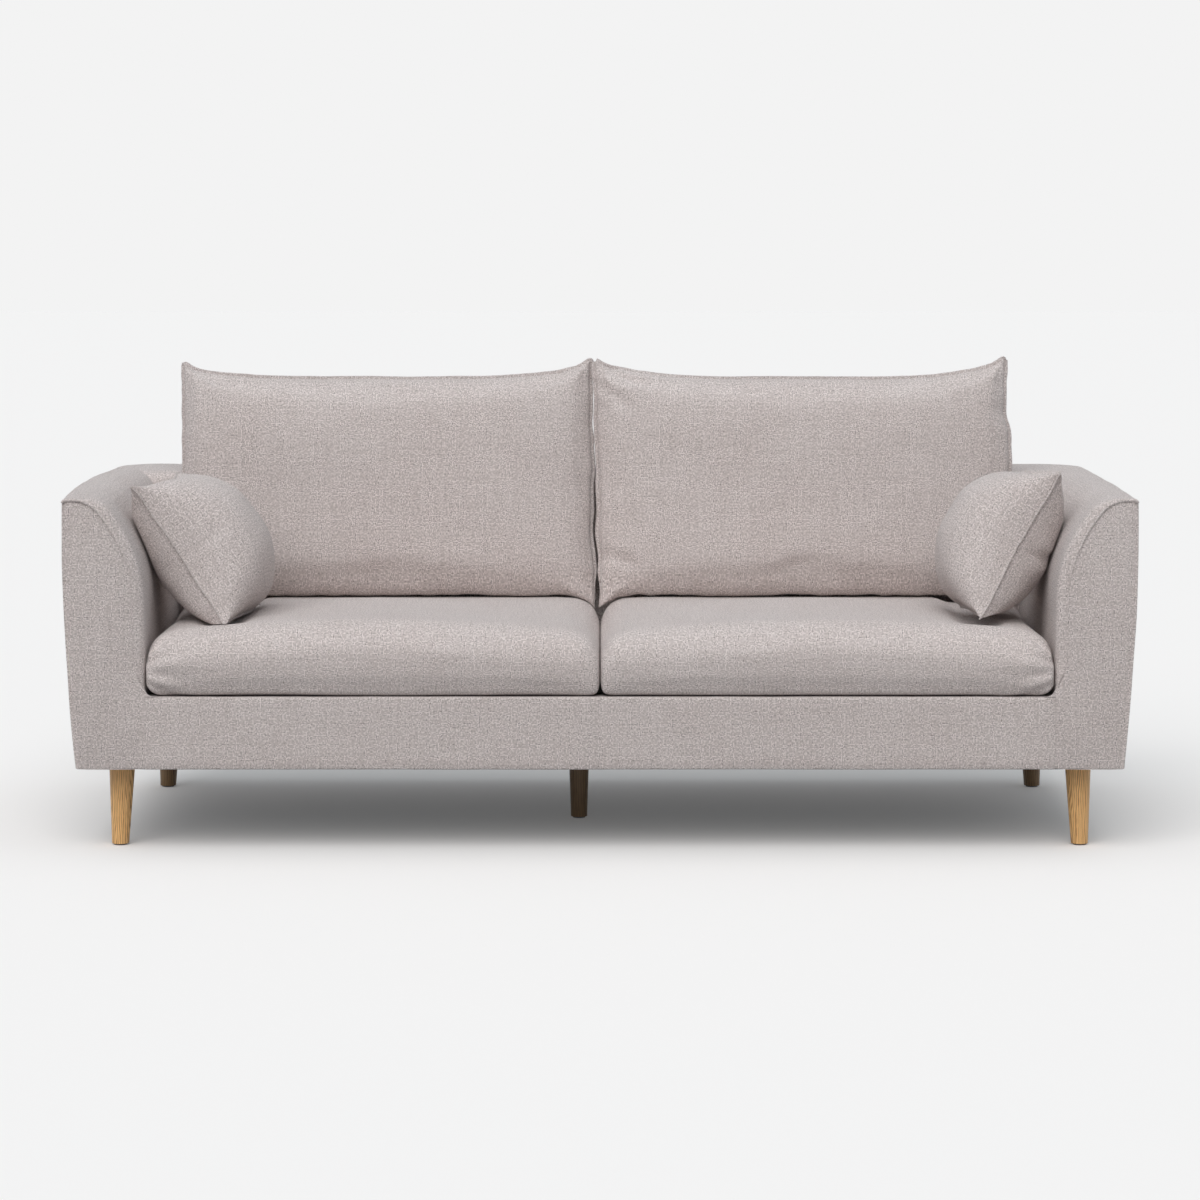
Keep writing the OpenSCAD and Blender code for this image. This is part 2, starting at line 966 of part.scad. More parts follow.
module seat_cushion_foam_left() {
    seat_cushion_foam(-1);
}

module seat_cushion_foam_right() {
    seat_cushion_foam(1);
}

// --- Knife-edge cushions ---

// Share of the full swell at a fraction t of the half width
function swell(t) = pow(1 - pow(abs(t), swell_flat), swell_round);

// Point of a knife-edge cushion of size w by h at fractions u and v, with face swell s,
// where bow holds how far the side edges, the top edge and the lower edge bow in
function cushion_point(w, h, s, bow, u, v, i) = [
    u * (w / 2 - i - bow[0] * (1 - v * v)),
    v * (h / 2 - i - (v > 0 ? bow[1] : bow[2]) * (1 - u * u)),
    (s < 0 ? -1 : 1) * (edge_half - i / 2) + (s - (s < 0 ? -i : i)) * swell(u) * swell(v)
];

edge_half = 3;
back_cushion_w = inner_x - back_cushion_less;

// Fractions that lie closer together near the edges
function fractions(n) = [for (k = [0:n]) sin(-90 + 180 * k / n)];

// Knife-edge cushion in its own axes: X across, Y up, Z out of the front face, inset by i
module cushion_solid(w, h, front, rear, bow, i, n) {
    f = fractions(n);
    m = n + 1;
    top = [for (u = f) for (v = f) cushion_point(w, h, front, bow, u, v, i)];
    low = [for (u = f) for (v = f) cushion_point(w, h, -rear, bow, u, v, i)];
    base = m * m;
    top_faces = [for (a = [0:n - 1]) for (b = [0:n - 1]) let (q = a * m + b)
        each [[q, q + 1, q + m], [q + 1, q + m + 1, q + m]]];
    low_faces = [for (a = [0:n - 1]) for (b = [0:n - 1]) let (q = base + a * m + b)
        each [[q, q + m, q + 1], [q + 1, q + m, q + m + 1]]];
    rim = concat(
        [for (b = [0:n]) b],
        [for (a = [1:n]) a * m + n],
        [for (b = [n - 1:-1:0]) n * m + b],
        [for (a = [n - 1:-1:1]) a * m]
    );
    count = len(rim);
    rim_faces = [for (k = [0:count - 1]) let (p = rim[k], q = rim[(k + 1) % count])
        each [[p, base + p, q], [q, base + p, base + q]]];
    polyhedron(concat(top, low), concat(top_faces, low_faces, rim_faces), convexity = 6);
}

back_n = 12;

// The cushion stands on the seat and leans on the back frame
back_mid_z = seat_top + rest_gap + back_cushion_h / 2 * cos(back_lean) + edge_half;
back_mid_y = back_face_y(back_mid_z) - (back_rear + edge_half + side_gap) / cos(back_lean);

module at_back_cushion(side) {
    translate([back_joint_x + side * (side_gap + back_cushion_w) / 2, back_mid_y, back_mid_z])
        rotate([90 - back_lean, 0, 0])
            children();
}

module back_cushion(side, i) {
    at_back_cushion(side)
        cushion_solid(
            back_cushion_w, back_cushion_h, back_front, back_rear, [back_side_bow, back_dip, 0], i, back_n
        );
}

module back_cushion_cover(side) {
    color(fabric_colour)
        difference() {
            back_cushion(side, 0);
            back_cushion(side, fabric_t);
        }
}

module back_cushion_fill(side) {
    color("white")
        back_cushion(side, fabric_t + fill_gap);
}

module back_cushion_cover_left() {
    back_cushion_cover(-1);
}

module back_cushion_cover_right() {
    back_cushion_cover(1);
}

module back_cushion_fill_left() {
    back_cushion_fill(-1);
}

module back_cushion_fill_right() {
    back_cushion_fill(1);
}

pillow_n = 12;
pillow_bows = [pillow_bow, pillow_bow, pillow_bow];

// Direction axes of a right-hand scatter cushion that leans outwards by tilt
function turned(p) = [
    p[0] * cos(pillow_yaw) - p[1] * sin(pillow_yaw),
    p[0] * sin(pillow_yaw) + p[1] * cos(pillow_yaw),
    p[2]
];
function pillow_point(p, tilt) = turned([
    p[1] * sin(tilt) - p[2] * cos(tilt),
    -p[0],
    p[1] * cos(tilt) + p[2] * sin(tilt)
]);

// Surface points of a scatter cushion about its own centre
function pillow_surface(tilt) = [
    for (s = [pillow_inner, -pillow_outer])
        for (u = fractions(pillow_n))
            for (v = fractions(pillow_n))
                pillow_point(cushion_point(pillow_w, pillow_w, s, pillow_bows, u, v, 0), tilt)
];

// It stands on the seat, touches the arm and touches the back cushion
back_plane_y = back_mid_y - (back_front + edge_half + side_gap) / cos(back_lean);
function pillow_place(tilt) = let (
    s = pillow_surface(tilt),
    z = seat_top + rest_gap - min([for (p = s) p[2]]),
    x = min([for (p = s) arm_face_x(p[2] + z) - side_gap - p[0]]),
    y = min([for (p = s) back_plane_y + (p[2] + z - back_mid_z) * tan(back_lean) - p[1]])
) [x, y - pillow_forward, z];

module pillow(side, i) {
    tilt = side < 0 ? left_tilt : right_tilt;
    mirrored(side)
        translate(pillow_place(tilt))
            rotate([0, 0, pillow_yaw])
                rotate([0, tilt, 0])
                    rotate([90, 0, -90])
                        cushion_solid(
                            pillow_w, pillow_w, pillow_inner, pillow_outer,
                            pillow_bows, i, pillow_n
                        );
}

module pillow_cover(side) {
    color(fabric_colour)
        difference() {
            pillow(side, 0);
            pillow(side, fabric_t);
        }
}

module pillow_fill(side) {
    color("white")
        pillow(side, fabric_t + fill_gap);
}

module pillow_cover_left() {
    pillow_cover(-1);
}

module pillow_cover_right() {
    pillow_cover(1);
}

module pillow_fill_left() {
    pillow_fill(-1);
}

module pillow_fill_right() {
    pillow_fill(1);
}

front_rail();
rear_rail();
seat_rear_rail();
side_rail_left();
side_rail_right();
centre_rail();
corner_blocks();
arm_front_board_left();
arm_front_board_right();
arm_rear_board_left();
arm_rear_board_right();
arm_top_rail_left();
arm_top_rail_right();
back_board_left();
back_board_centre();
back_board_right();
back_top_rail();
seat_webbing();
seat_cross_webbing();
back_webbing();
arm_padding_left();
arm_padding_right();
back_padding();
front_padding();
arm_cover_left();
arm_cover_right();
arm_facing_left();
arm_facing_right();
arm_outer_panel_left();
arm_outer_panel_right();
arm_welt_left();
arm_welt_right();
back_cover();
back_outer_panel();
front_border();
deck_cloth();
dust_cover();
front_leg_left();
front_leg_right();
rear_leg_left();
rear_leg_right();
centre_leg();
leg_glides();
leg_plates();
leg_bolts();
plate_screws();
seat_cushion_cover_left();
seat_cushion_cover_right();
seat_cushion_foam_left();
seat_cushion_foam_right();
back_cushion_cover_left();
back_cushion_cover_right();
back_cushion_fill_left();
back_cushion_fill_right();
pillow_cover_left();
pillow_cover_right();
pillow_fill_left();
pillow_fill_right();
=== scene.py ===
import bpy
import bmesh
import math
from mathutils import Matrix, Vector, noise
from mathutils.bvhtree import BVHTree


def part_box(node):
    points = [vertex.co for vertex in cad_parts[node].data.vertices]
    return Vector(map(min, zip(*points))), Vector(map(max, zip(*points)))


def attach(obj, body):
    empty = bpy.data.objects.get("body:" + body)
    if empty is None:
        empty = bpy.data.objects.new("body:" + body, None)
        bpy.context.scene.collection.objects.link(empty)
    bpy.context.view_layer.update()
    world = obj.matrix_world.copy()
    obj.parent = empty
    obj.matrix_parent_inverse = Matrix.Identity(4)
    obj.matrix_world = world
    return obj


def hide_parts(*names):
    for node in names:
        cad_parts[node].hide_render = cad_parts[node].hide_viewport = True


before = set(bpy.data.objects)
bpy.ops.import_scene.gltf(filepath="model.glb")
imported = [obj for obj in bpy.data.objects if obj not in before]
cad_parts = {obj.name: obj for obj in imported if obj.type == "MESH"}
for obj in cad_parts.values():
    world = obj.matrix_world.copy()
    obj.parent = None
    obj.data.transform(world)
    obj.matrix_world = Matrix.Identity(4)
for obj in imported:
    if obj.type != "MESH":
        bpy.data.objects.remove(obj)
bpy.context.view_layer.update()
print("frame loaded")


class Wire:
    # one output of a node; sums on it read as plain maths
    def __init__(self, finish, socket):
        self.finish = finish
        self.socket = socket

    def maths(self, operation, first, second=None):
        inputs = {0: first} if second is None else {0: first, 1: second}
        return self.finish.node("ShaderNodeMath", {"operation": operation}, inputs)

    def __add__(self, other):
        return self.maths("ADD", self, other)

    def __sub__(self, other):
        return self.maths("SUBTRACT", self, other)

    def __rsub__(self, other):
        return self.maths("SUBTRACT", other, self)

    def __mul__(self, other):
        return self.maths("MULTIPLY", self, other)

    def __truediv__(self, other):
        return self.maths("DIVIDE", self, other)

    __radd__ = __add__
    __rmul__ = __mul__

    def sin(self):
        return self.maths("SINE", self)

    def size(self):
        return self.maths("ABSOLUTE", self)

    def whole(self):
        return self.maths("FLOOR", self)

    def above(self, level):
        return self.maths("GREATER_THAN", self, level)

    def most(self, other):
        return self.maths("MAXIMUM", self, other)


class Finish:
    # a material under construction
    def __init__(self, name, roughness, **fixed):
        self.material = bpy.data.materials.new(name)
        self.material.use_nodes = True
        self.tree = self.material.node_tree
        self.shader = self.tree.nodes["Principled BSDF"]
        self.shader.inputs["Roughness"].default_value = roughness
        for label, value in fixed.items():
            self.shader.inputs[label.replace("_", " ")].default_value = value

    def node(self, kind, settings, inputs, output=0):
        made = self.tree.nodes.new(kind)
        for label, value in settings.items():
            if label == "stops":
                ramp = made.color_ramp
                while len(ramp.elements) < len(value):
                    ramp.elements.new(0.5)
                for element, (place, colour) in zip(ramp.elements, value):
                    element.position = place
                    element.color = (*colour, 1)
            else:
                setattr(made, label, value)
        for label, value in inputs.items():
            self.plug(made.inputs[label], value)
        return Wire(self, made.outputs[output])

    def plug(self, socket, value):
        if isinstance(value, Wire):
            self.tree.links.new(value.socket, socket)
        elif isinstance(value, tuple) and socket.type == "RGBA":
            socket.default_value = (*value, 1)
        else:
            socket.default_value = value

    def mix(self, share, first, second, way="MIX"):
        return self.node("ShaderNodeMix", {"data_type": "RGBA", "blend_type": way},
                         {0: share, 6: first, 7: second}, output=2)

    def place(self):
        return self.node("ShaderNodeTexCoord", {}, {}, output="Object")

    def uvPlace(self, layer):
        return self.node("ShaderNodeUVMap", {"uv_map": layer}, {})

    def split(self, vector, axis):
        return self.node("ShaderNodeSeparateXYZ", {}, {0: vector}, output=axis)

    def join(self, x, y, z):
        return self.node("ShaderNodeCombineXYZ", {}, {0: x, 1: y, 2: z})

    def cloud(self, vector, scale, detail=2.0, roughness=0.5):
        return self.node("ShaderNodeTexNoise", {}, {"Vector": vector, "Scale": scale,
                         "Detail": detail, "Roughness": roughness})

    def finish(self, colour, height=None, depth=0.001, rough=None):
        self.plug(self.shader.inputs["Base Color"], colour)
        if rough is not None:
            self.plug(self.shader.inputs["Roughness"], rough)
        if height is not None:
            bump = self.node("ShaderNodeBump", {}, {"Height": height, "Distance": depth, "Strength": 1.0})
            self.plug(self.shader.inputs["Normal"], bump)
        return self.material


weave = {
    "thread": 0.0022,      # pitch of the threads, metres
    "slubLength": 0.009,
    "streakLength": 0.12,  # along which a thread keeps its tone
    "light": (0.89, 0.790, 0.757),
    "body": (0.602, 0.512, 0.484),
    "dark": (0.30, 0.240, 0.215),
    "depth": 0.0011,
}


def upholsteryCloth(name):
    cloth = Finish(name, 0.92, Sheen_Weight=0.30, Sheen_Roughness=0.45, Specular_IOR_Level=0.2)
    flat = cloth.uvPlace("weave")
    across = cloth.split(flat, 0)
    along = cloth.split(flat, 1)
    sway = (cloth.cloud(flat, 45.0) - 0.5) * 0.0012
    across = across + sway
    along = along + sway
    pitch = weave["thread"]
    warpCount = (across / pitch).whole()
    weftCount = (along / pitch).whole()
    # each thread has its own slubs, drawn out along it
    warpSlub = cloth.cloud(cloth.join(warpCount * 1.37, along / weave["slubLength"], 0.0), 1.0, 3.0, 0.75)
    weftSlub = cloth.cloud(cloth.join(across / weave["slubLength"], weftCount * 1.91, 5.0), 1.0, 3.0, 0.75)
    warpWave = (across * (math.pi / pitch)).sin()
    weftWave = (along * (math.pi / pitch)).sin()
    checker = (warpWave * weftWave).above(0.0)
    slub = warpSlub * checker + weftSlub * (1.0 - checker)
    relief = (warpWave.size() * checker + weftWave.size() * (1.0 - checker)) * 0.7 + slub * 0.9
    fleck = cloth.cloud(cloth.join(warpCount * 0.73, weftCount * 0.73, 9.0), 1.0, 0.0)
    stretch = weave["streakLength"]
    streak = (cloth.cloud(cloth.join(warpCount * 1.13, along / stretch, 2.0), 1.0, 1.0)
              + cloth.cloud(cloth.join(across / stretch, weftCount * 1.13, 7.0), 1.0, 1.0))
    # painted shade: the tone is raised on the thread tops and drops in the pits between the threads
    paintedPitShade = warpWave * warpWave * weftWave * weftWave
    tone = slub * 0.36 + fleck * 0.42 + streak * 0.08 + paintedPitShade * 0.06 + 0.045
    colour = cloth.node("ShaderNodeValToRGB", {"stops": (
        (0.37, weave["dark"]), (0.475, weave["body"]),
        (0.525, weave["body"]), (0.61, weave["light"]))}, {0: tone})
    patch = cloth.cloud(cloth.place(), 5.0, 2.0)
    colour = cloth.mix(0.10, colour, cloth.node("ShaderNodeValToRGB", {"stops": (
        (0.35, (0.40, 0.39, 0.38)), (0.65, (0.62, 0.61, 0.60)))}, {0: patch}), "OVERLAY")
    return cloth.finish(colour, relief + fleck * 0.5, weave["depth"])


oakLook = {
    "pale": (0.90, 0.53, 0.22),
    "mid": (0.72, 0.385, 0.14),
    "pore": (0.40, 0.20, 0.07),
}


def oiledOak(name, shade=1.0):
    # shade scales all the colours down; below 1 it is painted shade, for legs that stand in the sofa's
    # shadow
    oak = Finish(name, 0.45, Coat_Weight=0.12, Coat_Roughness=0.3)
    spot = oak.place()
    x, y, z = (oak.split(spot, k) for k in range(3))
    drift = oak.cloud(oak.join(x * 6.0, y * 6.0, z * 1.6), 1.0, 3.0)
    ring = oak.node("ShaderNodeTexWave", {"wave_type": "BANDS", "bands_direction": "X"},
                    {"Vector": oak.join(x + drift * 0.05, y, z * 0.08), "Scale": 95.0,
                     "Distortion": 6.0, "Detail": 3.0, "Detail Scale": 1.4})
    pore = oak.cloud(oak.join(x * 700.0, y * 700.0, z * 22.0), 1.0, 2.0, 0.7)
    tone = ring * 0.55 + pore * 0.45
    colour = oak.node("ShaderNodeValToRGB", {"stops": (
        (0.22, tuple(c * shade for c in oakLook["pore"])),
        (0.42, tuple(c * shade for c in oakLook["mid"])),
        (0.72, tuple(c * shade for c in oakLook["pale"])))}, {0: tone})
    return oak.finish(colour, pore, 0.0004, 0.35 + pore * 0.25)


def plainWood(name, pale, deep, streak):
    wood = Finish(name, 0.7)
    spot = wood.place()
    grain = wood.cloud(wood.node("ShaderNodeMapping", {}, {"Vector": spot, "Scale": streak}), 9.0, 5.0, 0.6)
    colour = wood.node("ShaderNodeValToRGB", {"stops": ((0.3, deep), (0.7, pale))}, {0: grain})
    return wood.finish(colour, grain, 0.0006)


def plainCloth(name, colour, pitch):
    cloth = Finish(name, 0.95)
    spot = cloth.place()
    x, y, z = (cloth.split(spot, k) for k in range(3))
    cross = ((x + z) * (math.pi / pitch)).sin().size() * ((y + z) * (math.pi / pitch)).sin().size()
    speck = cloth.cloud(spot, 900.0)
    tone = cross * 0.5 + speck * 0.5
    shade = cloth.mix(tone, tuple(c * 0.6 for c in colour), colour)
    return cloth.finish(shade, tone, 0.0005)


def foamSkin(name, colour):
    foam = Finish(name, 0.95)
    cells = foam.node("ShaderNodeTexVoronoi", {}, {"Vector": foam.place(), "Scale": 420.0})
    shade = foam.mix(cells, tuple(c * 0.75 for c in colour), colour)
    return foam.finish(shade, cells, 0.0008)


def steelZinc(name):
    steel = Finish(name, 0.35, Metallic=1.0)
    flakes = steel.node("ShaderNodeTexVoronoi", {}, {"Vector": steel.place(), "Scale": 160.0})
    colour = steel.mix(flakes, (0.48, 0.49, 0.5), (0.72, 0.73, 0.74))
    return steel.finish(colour, flakes, 0.0001, 0.25 + flakes * 0.3)


def mouldedPlastic(name, colour):
    plastic = Finish(name, 0.55)
    grit = plastic.cloud(plastic.place(), 700.0)
    shade = plastic.mix(grit, tuple(c * 0.8 for c in colour), colour)
    return plastic.finish(shade, grit, 0.0002)


clothBody = upholsteryCloth("upholstery_cloth")
clothCushion = upholsteryCloth("cushion_cloth")
oakFront = oiledOak("oak_leg")
# painted shade: a darkened copy of the oak for the rear and centre legs, which stand in the shade under the
# sofa
oakPaintedShade = oiledOak("oak_leg_painted_shade", 0.26)
pine = plainWood("frame_timber", (0.78, 0.62, 0.40), (0.60, 0.43, 0.24), (1.0, 1.0, 0.2))
ply = plainWood("plywood", (0.74, 0.60, 0.42), (0.55, 0.40, 0.25), (0.6, 6.0, 0.6))
strapCloth = plainCloth("elastic_webbing", (0.10, 0.10, 0.11), 0.0025)
deckCloth = plainCloth("deck_cloth", (0.42, 0.40, 0.38), 0.0015)
dustCloth = plainCloth("dust_cloth", (0.035, 0.035, 0.037), 0.0012)
foam = foamSkin("foam", (0.88, 0.83, 0.68))
fibre = foamSkin("fibre_fill", (0.9, 0.9, 0.9))
zinc = steelZinc("zinc_steel")
glideStuff = mouldedPlastic("glide_plastic", (0.16, 0.15, 0.15))
print("finishes made")


def newPiece(bm, name, finish):
    mesh = bpy.data.meshes.new(name)
    bm.to_mesh(mesh)
    bm.free()
    piece = bpy.data.objects.new(name, mesh)
    bpy.context.scene.collection.objects.link(piece)
    mesh.materials.append(finish)
    for face in mesh.polygons:
        face.use_smooth = True
    return piece


def addFiner(piece):
    finer = piece.modifiers.new("finer", "SUBSURF")
    finer.levels = finer.render_levels = 1


def evenNormals(bm):
    bmesh.ops.recalc_face_normals(bm, faces=bm.faces[:])


def flatWeave(bm):
    # threads run along the axes of whichever side a face turns to
    layer = bm.loops.layers.uv.get("weave") or bm.loops.layers.uv.new("weave")
    for face in bm.faces:
        n = face.normal
        sides = [abs(n.x), abs(n.y), abs(n.z)]
        main = sides.index(max(sides))
        a, b = ((1, 2), (0, 2), (0, 1))[main]
        for loop in face.loops:
            loop[layer].uv = (loop.vert.co[a], loop.vert.co[b])


def ringSkin(bm, rings):
    # a tube through rings of points: the first ring is drawn and pushed on through the others
    verts = [bm.verts.new(p) for p in rings[0]]
    edges = [bm.edges.new((verts[k], verts[(k + 1) % len(verts)])) for k in range(len(verts))]
    cap = bm.faces.new(verts)
    for ring in rings[1:]:
        made = bmesh.ops.extrude_edge_only(bm, edges=edges)["geom"]
        fresh = [g for g in made if isinstance(g, bmesh.types.BMEdge)]
        # the new ring keeps the order of the old one
        follow = {}
        for edge in fresh:
            for vert in edge.verts:
                near = min(verts, key=lambda old: (old.co - vert.co).length_squared)
                follow[near] = vert
        verts = [follow[old] for old in verts]
        for vert, point in zip(verts, ring):
            vert.co = point
        edges = [bm.edges.get((verts[k], verts[(k + 1) % len(verts)])) for k in range(len(verts))]
    ends = [cap, bm.faces.new(verts)]
    # creased, so that a finer skin keeps the shape of the two ends
    sharp = bm.edges.layers.float.get("crease_edge") or bm.edges.layers.float.new("crease_edge")
    for face in ends:
        for edge in face.edges:
            edge[sharp] = 1.0
    bmesh.ops.triangulate(bm, faces=ends)
    evenNormals(bm)


def roughen(bm, size, amount, seed):
    bm.normal_update()
    shift = Vector((seed, seed * 1.7, seed * 0.3))
    moves = [v.normal * (noise.fractal(v.co / size + shift, 0.6, 2.0, 3) + 0.7) * amount for v in bm.verts]
    for vert, move in zip(bm.verts, moves):
        vert.co += move


def smoothly(t):
    t = min(max(t, 0.0), 1.0)
    return t * t * (3 - 2 * t)


armForm = {
    "curveRadius": 0.280,   # outward curve of the inner face
    "curveTurn": 40.0,      # slope at which it turns over, degrees
    "topRadius": 0.064,
    "edgeRadius": 0.007,
    "sideDraw": 0.022,
    "bulgeDrop": 0.103,
    "roll": 0.022,          # roll of the wrap round its front edge
    "facingDepth": 0.0045,
    "weltRadius": 0.0033,
    "cornerFill": 0.022,    # radius where the facing turns in to the rail
    "crown": {"left": 0.011, "right": 0.003},   # fullness of the padding along the top
    "endY": 0.345,          # where the wrap meets the back
    "roughness": 0.0013,
}
deckGap = 0.003            # between the deck cloth and the arms
armLow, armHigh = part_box("arm_cover_right")
halfWidth, armTop = armHigh.x, armHigh.z
frontY, rearY = armLow.y, armHigh.y
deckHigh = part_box("deck_cloth")[1]
innerX, deckZ = deckHigh.x + deckGap, deckHigh.z
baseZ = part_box("arm_facing_right")[0].z


def outerX(z):
    bulgeZ = armTop - armForm["bulgeDrop"]
    draw = armForm["sideDraw"]
    radius = ((bulgeZ - baseZ) ** 2 + draw ** 2) / (2 * draw)
    return halfWidth - radius + math.sqrt(radius ** 2 - (z - bulgeZ) ** 2)


def armFaceX(z):
    # the inner face of an arm below the turn into its top
    turn = math.radians(armForm["curveTurn"])
    big, small = armForm["curveRadius"], armForm["topRadius"]
    curveZ = armTop - big * math.sin(turn) - small * (1 - math.sin(turn))
    return innerX + big - math.sqrt(big ** 2 - min(max(z - curveZ, 0.0), big * 0.64) ** 2)


def armSection(inset, shift, foot):
    # points (x, z) up the inner face, over the top and down the outer side of the right arm
    turn = math.radians(armForm["curveTurn"])
    big, small, edge = armForm["curveRadius"], armForm["topRadius"], armForm["edgeRadius"]
    curveZ = armTop - big * math.sin(turn) - small * (1 - math.sin(turn))

    def pushed(z):
        return shift * smoothly((z - deckZ - 0.006) / 0.07)
    # close points at the foot keep its edge sharp
    points = []
    for z in [foot, foot + 0.002] + [foot + 0.006 + (curveZ - foot - 0.006) * k / 12 for k in range(12)]:
        points.append((innerX + inset + pushed(z), z))
    for k in range(10):
        a = turn * k / 10
        z = curveZ + (big - inset) * math.sin(a)
        points.append((innerX + big - (big - inset) * math.cos(a) + pushed(z), z))
    topX = innerX + big - (big - small) * math.cos(turn)
    topZ = curveZ + (big - small) * math.sin(turn)
    for k in range(9):
        a = turn + (math.pi / 2 - turn) * k / 8
        points.append((topX - (small - inset) * math.cos(a) + shift, topZ + (small - inset) * math.sin(a)))
    edgeX, edgeZ = outerX(armTop) - edge, armTop - edge
    for k in range(4):
        a = math.pi / 2 * (1 - k / 3)
        points.append((edgeX + (edge - inset) * math.cos(a), edgeZ + (edge - inset) * math.sin(a)))
    for z in [edgeZ + (foot + 0.006 - edgeZ) * k / 14 for k in range(1, 15)] + [foot + 0.002, foot]:
        points.append((outerX(z) - inset, z))
    return points


def armWrap(side):
    word = "left" if side < 0 else "right"
    # rings (y, inset, roll): the front edge turns in behind the facing
    roll = armForm["roll"]
    rings = [(frontY + y, inset, roll) for y, inset in
             ((0.0070, 0.0110), (0.0046, 0.0085), (0.0028, 0.0058), (0.0020, 0.0034), (0.0016, 0.0014))]
    for k in range(9):
        a = math.pi / 2 * k / 8
        y = frontY + 0.0018 + (roll - 0.0018) * (1 - math.cos(a))
        rings.append((y, 0.0, roll * (1 - math.sin(a))))
    span = armForm["endY"] - frontY - roll - 0.006
    rings += [(frontY + roll + span * k / 26, 0.0, 0.0) for k in range(1, 27)]
    rings += [(armForm["endY"] - 0.002, 0.0, 0.0), (armForm["endY"], 0.0, 0.0)]
    crown = armForm["crown"][word]
    loops = []
    for y, inset, shift in rings:
        puff = crown * math.sin(math.pi * max(0.0, (y - frontY) / (armForm["endY"] - frontY)) ** 0.7)
        loops.append([Vector((x, y, z + puff * smoothly((z - armTop + 0.10) / 0.09)))
                      for x, z in armSection(inset, shift, baseZ)])
    bm = bmesh.new()
    ringSkin(bm, loops)
    if side < 0:
        bmesh.ops.mirror(bm, geom=bm.verts[:] + bm.edges[:] + bm.faces[:], axis="X", merge_dist=-1)
        half = [v for v in bm.verts if v.co.x > 0]
        bmesh.ops.delete(bm, geom=half, context="VERTS")
        evenNormals(bm)
    roughen(bm, 0.16, armForm["roughness"], 3.0 + side)
    bm.normal_update()
    flatWeave(bm)
    piece = newPiece(bm, "arm_wrap_" + word, clothBody)
    addFiner(piece)
    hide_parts("arm_cover_" + word, "arm_outer_panel_" + word)
    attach(piece, "frame")


def armFacing(side):
    word = "left" if side < 0 else "right"
    depth = armForm["facingDepth"]
    proud = 0.0006         # behind the foremost line of the frame
    section = armSection(depth, armForm["roll"] - depth, baseZ + 0.001)
    # below the deck the facing runs up to the rail's seam, then turns round the cushion's lower corner
    r = armForm["cornerFill"]
    outline = [(innerX + 0.0003, baseZ + 0.001), (innerX + 0.0003, deckZ + 0.0004)]
    outline += [(innerX - r + r * math.sin(a), deckZ + 0.0004 + r - r * math.cos(a))
                for a in (math.pi / 2 * k / 6 for k in range(6))]
    outline += [(x, z) for k, (x, z) in enumerate(section) if k > 14 or z > deckZ + r]
    outline = [(side * x, z) for x, z in outline]
    bm = bmesh.new()
    verts = [bm.verts.new((x, frontY + depth, z)) for x, z in outline]
    face = bm.faces.new(verts)
    made = bmesh.ops.extrude_face_region(bm, geom=[face])["geom"]
    bmesh.ops.translate(bm, vec=(0, -depth + proud, 0),
                        verts=[g for g in made if isinstance(g, bmesh.types.BMVert)])
    evenNormals(bm)
    rim = [e for e in bm.edges if all(abs(v.co.y - frontY - proud) < 1e-5 for v in e.verts)
           and any(abs(v.co.x) > innerX + 0.001 or v.co.z > deckZ + r for v in e.verts)]
    bmesh.ops.bevel(bm, geom=rim, offset=0.0028, offset_type="OFFSET", segments=3, profile=0.5,
                    affect="EDGES", material=-1)
    bmesh.ops.triangulate(bm, faces=[f for f in bm.faces if len(f.verts) > 4])
    flat = Vector((0, -1, 0))
    sharp = [e for e in bm.edges if len(e.link_faces) == 2
             and abs(e.link_faces[0].normal.dot(flat) - e.link_faces[1].normal.dot(flat)) > 0.9]
    for edge in sharp:
        edge.smooth = False
    flatWeave(bm)
    piece = newPiece(bm, "arm_face_" + word, clothBody)
    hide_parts("arm_facing_" + word)
    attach(piece, "frame")


def tube(name, points, radius, finish, fade):
    curve = bpy.data.curves.new(name, "CURVE")
    curve.dimensions = "3D"
    curve.bevel_depth = radius
    curve.bevel_resolution = 4
    curve.use_fill_caps = True
    line = curve.splines.new("POLY")
    line.points.add(len(points) - 1)
    for spot, point, share in zip(line.points, points, fade):
        spot.co = (*point, 1)
        spot.radius = share
    holder = bpy.data.objects.new(name + "_line", curve)
    bpy.context.scene.collection.objects.link(holder)
    bpy.context.view_layer.update()
    mesh = bpy.data.meshes.new_from_object(holder.evaluated_get(bpy.context.evaluated_depsgraph_get()))
    bpy.data.objects.remove(holder)
    bm = bmesh.new()
    bm.from_mesh(mesh)
    bpy.data.meshes.remove(mesh)
    bmesh.ops.remove_doubles(bm, verts=bm.verts[:], dist=1e-5)
    evenNormals(bm)
    flatWeave(bm)
    return newPiece(bm, name, finish)


def armWelt(side):
    word = "left" if side < 0 else "right"
    section = armSection(0.0012, armForm["roll"] - 0.002, baseZ)
    # from above the seat's edge to the outer tip
    start = next(k for k, (x, z) in enumerate(section) if z > deckZ + 0.02)
    section = section[start:37]
    points = [(side * x, frontY + 0.0010, z) for x, z in section]
    # full along the top, it dies away down the inner edge
    fade = [0.35 + 0.65 * smoothly((z - armTop + 0.20) / 0.14) for x, z in section]
    piece = tube("arm_piping_" + word, points, armForm["weltRadius"], clothBody, fade)
    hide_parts("arm_welt_" + word)
    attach(piece, "frame")


for side in (-1, 1):
    armWrap(side)
    armFacing(side)
    armWelt(side)
print("arms upholstered")


backForm = {
    "foot": 0.185,        # front face at deck height
    "lean": 9.0,
    "topRadius": 0.045,
    "cornerRadius": 0.100,
    "tuck": 0.020,        # how far the wrap runs in under the arm's
    "roughness": 0.0013,
}


def backFaceY(z):
    return backForm["foot"] + (z - deckZ) * math.tan(math.radians(backForm["lean"]))


